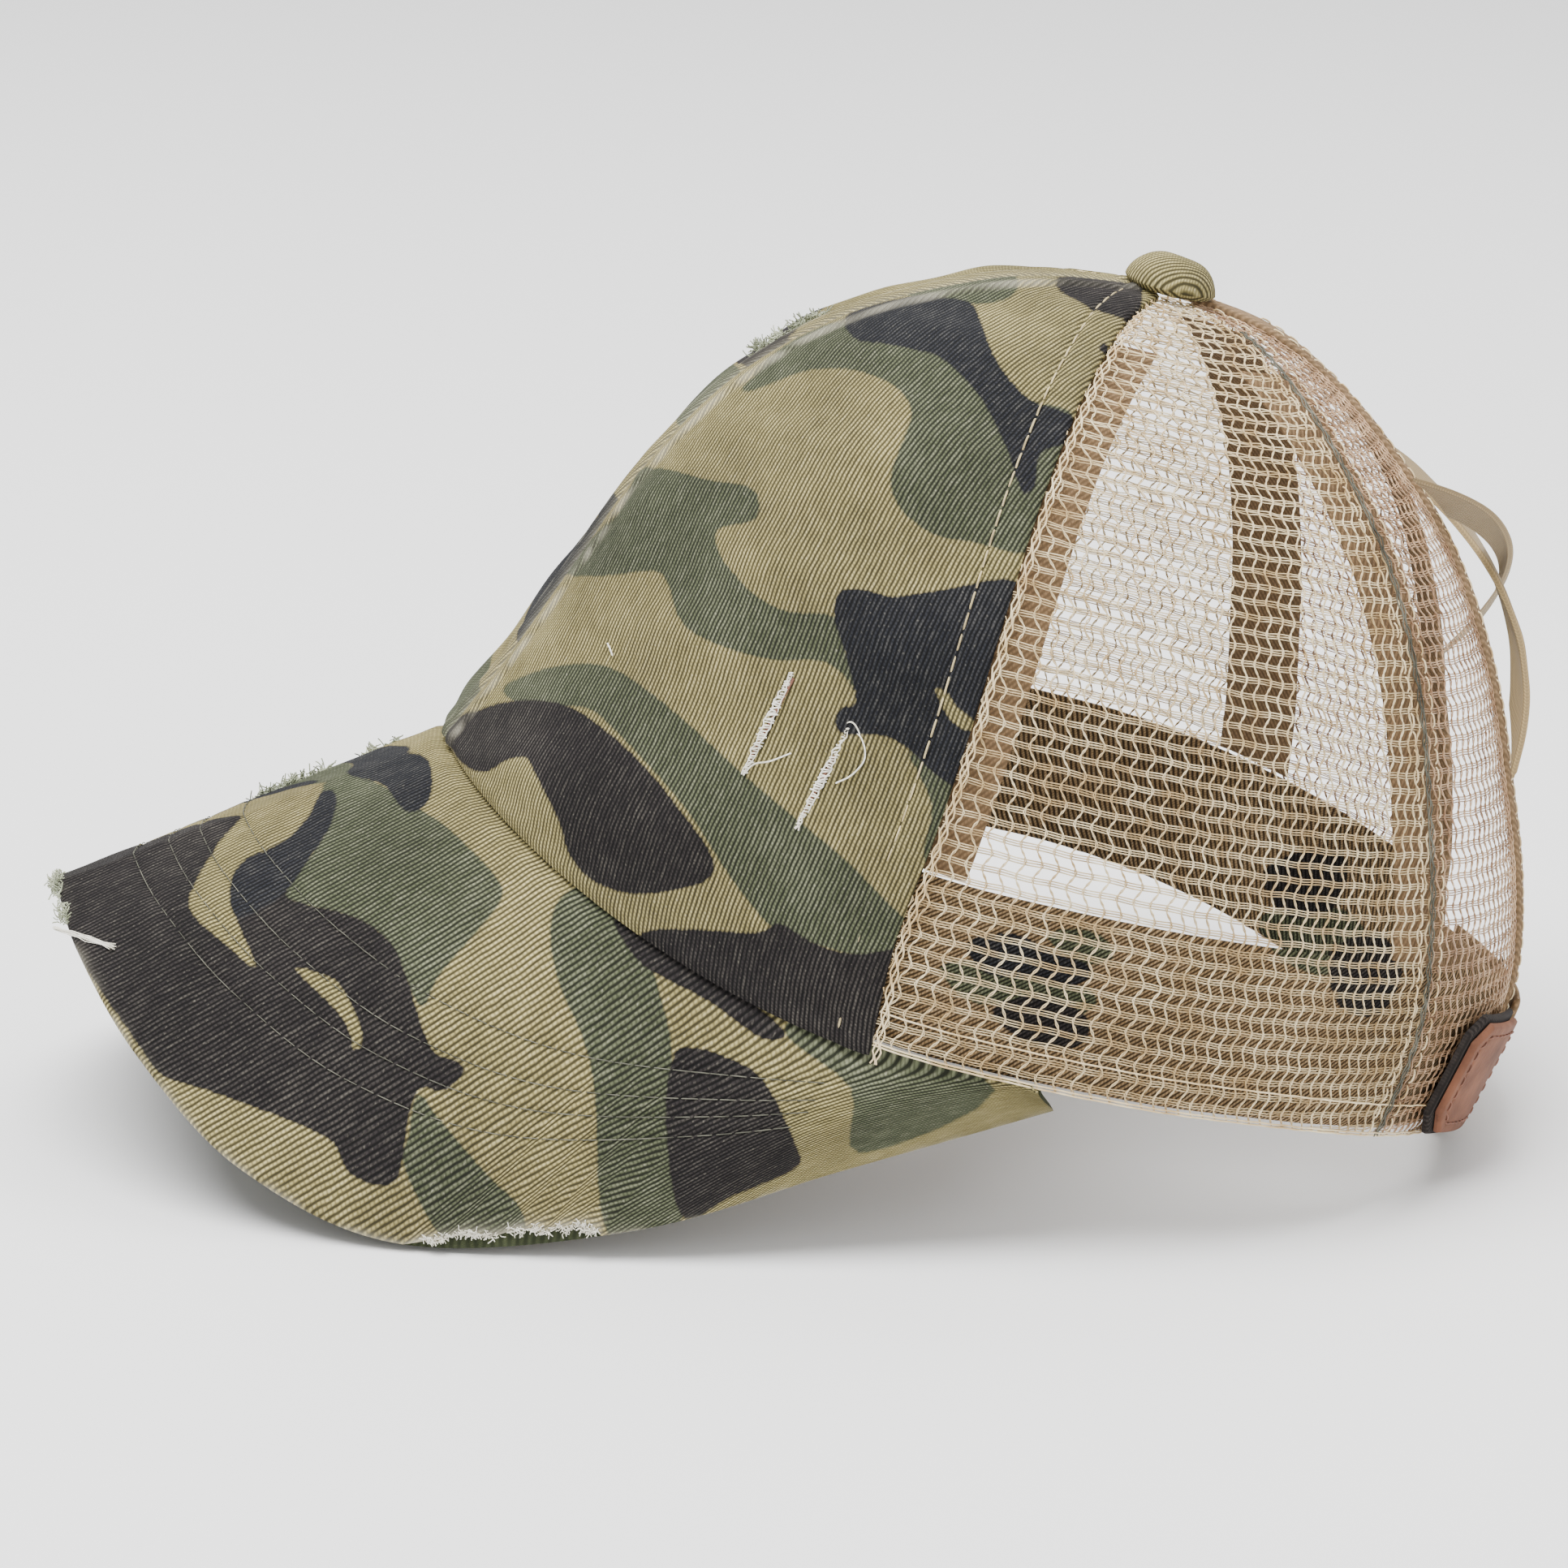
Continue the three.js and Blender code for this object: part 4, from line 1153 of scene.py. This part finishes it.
def net_seams():
    paths = []
    vs = lines(160, 0.004, 0.98)
    row = seam_rows(REAR_SEAM, vs)
    for offset in (-3.0, 3.0):
        turn = beside(REAR_SEAM, row, offset)
        paths += sewn(crown, turn, row, 2.6, 0.6, 0.1)
    vs = lines(160, 0.004, 0.9)
    row = seam_rows(BACK, vs)
    turn = from_back(row, slit_half(row) + GAP / 2 + 0.8 * binding_width(row))
    paths += sewn(crown, turn, row, 2.6, 0.6, BINDING_PROUD + 0.05)
    rear = []
    hem = lines(400, FRONT_SEAM, from_back(1.0, SLIT_HALF_WIDTH + 4))
    for up in (0.6, 1.1, 6.5):
        paths.append(crown(hem, hem_climb(hem, up), 0.05 + 0.12 * np.sin(hem * 90)))
    rows = seam_rows(REAR_SEAM, vs)
    for offset in (-0.5, 0.0, 0.5):
        wave = offset + 0.25 * np.sin(vs * 300 + offset * 4)
        rear.append(crown(beside(REAR_SEAM, rows, wave), rows, 0.1 + 0.15 * np.cos(vs * 280)))
        paths.append(crown(beside(FRONT_SEAM, rows, wave + 1.0), rows, 0.15 * np.cos(vs * 280)))
    for name, kept, radius, colour in (("net_seam_yarn", paths, 0.17, tan_net_yarn),
                                       ("rear_seam_thread", rear, 0.14, olive_thread)):
        both = [mirrored(path, side) for path in kept for side in SIDES.values()]
        finish(strands(name, both, radius, 5, colour), "tan_net", colour)


net_seams()


# Worn places: slits in the front panel with white weft threads across them, and frayed edges

def locate(place, pixels, u, v, steps=14, step=1e-3):
    """Surface coordinates that are seen at the photograph's pixels, starting from a guess."""
    pixels = np.asarray(pixels, float)
    u, v = np.full(len(pixels), float(u)), np.full(len(pixels), float(v))
    flat = np.zeros(len(pixels))
    for _ in range(steps):
        here = to_pixels(place(u, v, flat))
        by_u = (to_pixels(place(u + step, v, flat)) - here) / step
        by_v = (to_pixels(place(u, v + step, flat)) - here) / step
        miss = pixels - here
        area = by_u[:, 0] * by_v[:, 1] - by_u[:, 1] * by_v[:, 0]
        u = u + np.clip((miss[:, 0] * by_v[:, 1] - miss[:, 1] * by_v[:, 0]) / area, -0.15, 0.15)
        v = v + np.clip((by_u[:, 0] * miss[:, 1] - by_u[:, 1] * miss[:, 0]) / area, -0.6, 0.6)
    return u, v


def nearest(place, us, vs, pixel):
    """Coordinates on a grid of the point seen nearest to a pixel of the photograph."""
    grid_u, grid_v = grid(us, vs)
    miss = np.linalg.norm(to_pixels(place(grid_u, grid_v, np.zeros_like(grid_u))) - pixel, axis=-1)
    i, j = np.unravel_index(np.argmin(miss), miss.shape)
    return us[i], vs[j]


def on_panel(pixels, lift):
    """Points raised from the left front panel that are seen at the photograph's pixels."""
    u, v = locate(crown, pixels, 0.9, 3.0)
    return crown(u, v, lift)


def ladder(start, end, rng):
    """White weft threads across a slit in the left front panel."""
    start, end = np.array(start, float), np.array(end, float)
    run = unit(end - start)
    across = np.array([-run[1], run[0]])
    length = np.linalg.norm(end - start)
    arch = np.array([-1.2, 0.7, 1.2, 0.7, -1.2])
    paths = []
    for at in np.arange(0, length, 3.4):
        middle = start + run * (at + rng.normal(0, 0.7)) + across * rng.normal(0, 0.8)
        half = rng.uniform(3.2, 6.2) * (0.4 + 0.6 * sin(pi * at / length))
        slant = rng.normal(0.45, 0.25)
        steps = np.linspace(-half, half, 5)[:, None]
        lift = 0.25 + rng.uniform(0.1, 0.35) * arch
        paths.append(on_panel(middle + steps * (across + slant * run), lift))
    for edge in (-4.2, 4.2):
        at = np.linspace(0, length, 26)
        wave = edge * (0.2 + 0.8 * np.sin(pi * at / length)) + rng.normal(0, 1.1, len(at))
        lift = 0.25 + rng.normal(0, 0.12, len(at))
        paths.append(on_panel(start + run * at[:, None] + across * wave[:, None], lift))
    return paths


def slit_shadow_line(start, end):
    """Painted shadow of the cut: a dark strand along the slit, between the rows of bared threads."""
    at = np.linspace(0, 1, 20)[:, None]
    return on_panel(np.array(start, float) * (1 - at) + np.array(end, float) * at, 0.05)


def loose_thread(pixels, lift):
    """A thread that lies on the front panel along points of the photograph."""
    at = np.linspace(0, len(pixels) - 1, 6 * len(pixels))
    smooth = np.stack([between(np.array(pixels, float)[:, k], at) for k in (0, 1)], -1)
    return on_panel(smooth, lift * (0.3 + 0.7 * np.sin(np.linspace(0, pi, len(at)))))


def tuft(place, u, v, spread, count, length, rng):
    """Curly fibres that stand up from a worn spot."""
    paths = []
    for _ in range(count):
        at_u, at_v = u + rng.normal(0, spread[0]), v + rng.normal(0, spread[1])
        base = place(np.array([at_u]), np.array([at_v]), np.zeros(1))[0]
        out = unit(place(np.array([at_u]), np.array([at_v]), np.ones(1))[0] - base)
        heading = unit(out * rng.uniform(0.4, 1.0) + rng.normal(0, 0.6, 3))
        bend = rng.normal(0, 0.55, 3)
        reach = length * rng.uniform(0.4, 1.2)
        points = [base - 0.2 * out]
        for _ in range(7):
            points.append(points[-1] + heading * reach / 7)
            heading = unit(heading + bend + rng.normal(0, 0.25, 3))
        paths.append(np.array(points))
    return paths


# Their places, in the photograph's pixels. A loose thread has its height in millimetres with it.
SLITS = (((976, 830), (916, 955)), ((1046, 897), (981, 1022)))
SLIT_SHADOW_LINES = (((978, 836), (917, 950)), ((1044, 903), (983, 1016)))
LOOSE_THREADS = (
    (0.3, [(749, 793), (753, 800), (755, 808)]), (0.5, [(916, 955), (930, 942), (950, 938), (975, 928)]),
    (0.6, [(1046, 897), (1062, 910), (1066, 935), (1050, 955), (1030, 965)]),
    (0.5, [(1040, 893), (1050, 890), (1058, 900), (1064, 920)]))
BARTACK = [(70, 1143), (88, 1150), (108, 1158), (140, 1168)]

# Frayed spots as pixels with numbers of fibres. Each kind has its surface, the coordinates that are
# searched for the spots, how far the fibres spread there, and their length in millimetres.
CROWN_FRAYS = (((925, 415), 130), ((945, 400), 110), ((980, 382), 110), ((1000, 378), 60))
BRIM_FRAYS = (((325, 965), 110), ((360, 958), 120), ((395, 952), 60), ((455, 925), 34), ((480, 917), 30))
CORNER_FRAYS = (((48, 1070), 80), ((60, 1095), 90), ((72, 1125), 80))
FRAYS = ((crown, lines(60, -0.12, 0.25), lines(160, 1, 9), (0.009, 0.03), 2.8, CROWN_FRAYS),
         (brim, lines(120, -0.4, 0.4), lines(120, 0, 1), (0.008, 0.018), 2.5, BRIM_FRAYS),
         (brim, lines(120, -0.4, 0.4), lines(12, 0.95, 1), (0.011, 0.007), 1.7, CORNER_FRAYS))


def worn_places():
    rng = np.random.default_rng(12)
    slits = [path for start, end in SLITS for path in ladder(start, end, rng)]
    slits += [loose_thread(pixels, lift) for lift, pixels in LOOSE_THREADS]
    finish(strands("slit_threads", slits, 0.15, 5, pale_fray), "camo_twill", pale_fray)
    # A dark brown strand along each slit: painted shadow of the cut.
    slit_shadows = [slit_shadow_line(start, end) for start, end in SLIT_SHADOW_LINES]
    finish(strands("slit_shadow_strands", slit_shadows, 0.3, 4, brown_thread_and_slit_shadow), "camo_twill", brown_thread_and_slit_shadow)

    fibres = []
    for place, us, vs, spread, length, spots in FRAYS:
        for pixel, count in spots:
            u, v = nearest(place, us, vs, pixel)
            fibres += tuft(place, u, v, spread, count, length, rng)
    finish(strands("frayed_cloth", fibres, 0.13, 3, green_fray), "camo_twill", green_fray)

    fringe = []
    for u in rng.uniform(0, 1, 900):
        torn = tear(np.array([u]))[0]
        if torn < 1.2:
            continue
        length = brim_length(u)
        fringe += tuft(brim, u, 1 - (torn + rng.normal(0, 0.35)) / length, (0.001, 0.001), 4, 1.3, rng)
    finish(strands("torn_edge_fringe", fringe, 0.1, 3, pale_fray), "camo_twill", pale_fray)

    bartack = []
    for _ in range(14):
        at = np.array(BARTACK, float) + rng.normal(0, 2.0, (4, 2))
        u, v = locate(brim, at, 0.2, 0.9)
        bartack.append(brim(u, v, np.full(4, 0.3) + rng.normal(0, 0.15, 4)))
    finish(strands("edge_bartack", bartack, 0.1, 4, pale_fray), "camo_twill", pale_fray)


worn_places()


# Camera, light and floor

SENSOR = 36  # millimetres across
FLOOR = 6  # metres from the middle to each side
LIGHT_DISTANCE, LIGHT_AIM = 1.5, Vector((0, 0, 0.08))  # metres


def point_camera():
    camera = bpy.data.objects.new("camera", bpy.data.cameras.new("camera"))
    bpy.context.scene.collection.objects.link(camera)
    camera.data.sensor_width = SENSOR
    camera.data.lens = PIXELS_PER_MM * DISTANCE / PHOTO_SIZE * SENSOR
    axes = np.stack([CAMERA_RIGHT, CAMERA_UP, TO_CAMERA]) @ TIP_TURN.T
    place = Matrix([[*axes[:, k], 0] for k in range(3)] + [[0, 0, 0, 1]])
    camera.matrix_world = Matrix.Translation(Vector(to_scene(TARGET + DISTANCE * TO_CAMERA))) @ place
    bpy.context.scene.camera = camera


def soft_light(name, direction, size, watts):
    """A round soft light in a direction from the cap, facing it. Its size is in metres."""
    light = bpy.data.objects.new(name, bpy.data.lights.new(name, "AREA"))
    light.data.shape = "DISK"
    light.data.size = size
    light.data.energy = watts
    bpy.context.scene.collection.objects.link(light)
    light.location = LIGHT_AIM + Vector(direction).normalized() * LIGHT_DISTANCE
    light.rotation_mode = "QUATERNION"
    light.rotation_quaternion = (LIGHT_AIM - light.location).to_track_quat("-Z", "Y")
    return light


def studio():
    corners = [(FLOOR * x, FLOOR * y, 0) for x, y in ((-1, -1), (1, -1), (1, 1), (-1, 1))]
    ground = new_object("floor", corners, [(0, 1, 2, 3)])
    paper, _, _ = new_material("pale_backdrop_paper", Base_Color=linear("#f3f3f3"), Roughness=0.9)
    ground.data.materials.append(paper)
    lights = [soft_light("key", (0.25, -0.6, 2.0), 1.3, 54), soft_light("fill", (1.5, 0.9, 0.9), 1.6, 8),
              soft_light("rim", (-0.8, 0.6, 1.6), 1.2, 14)]
    world = bpy.data.worlds.new("pale_room")
    world.use_nodes = True
    world.node_tree.nodes["Background"].inputs["Color"].default_value = linear("#f2f2f2")
    world.node_tree.nodes["Background"].inputs["Strength"].default_value = 0.8
    bpy.context.scene.world = world


point_camera()
studio()

bpy.context.view_layer.update()
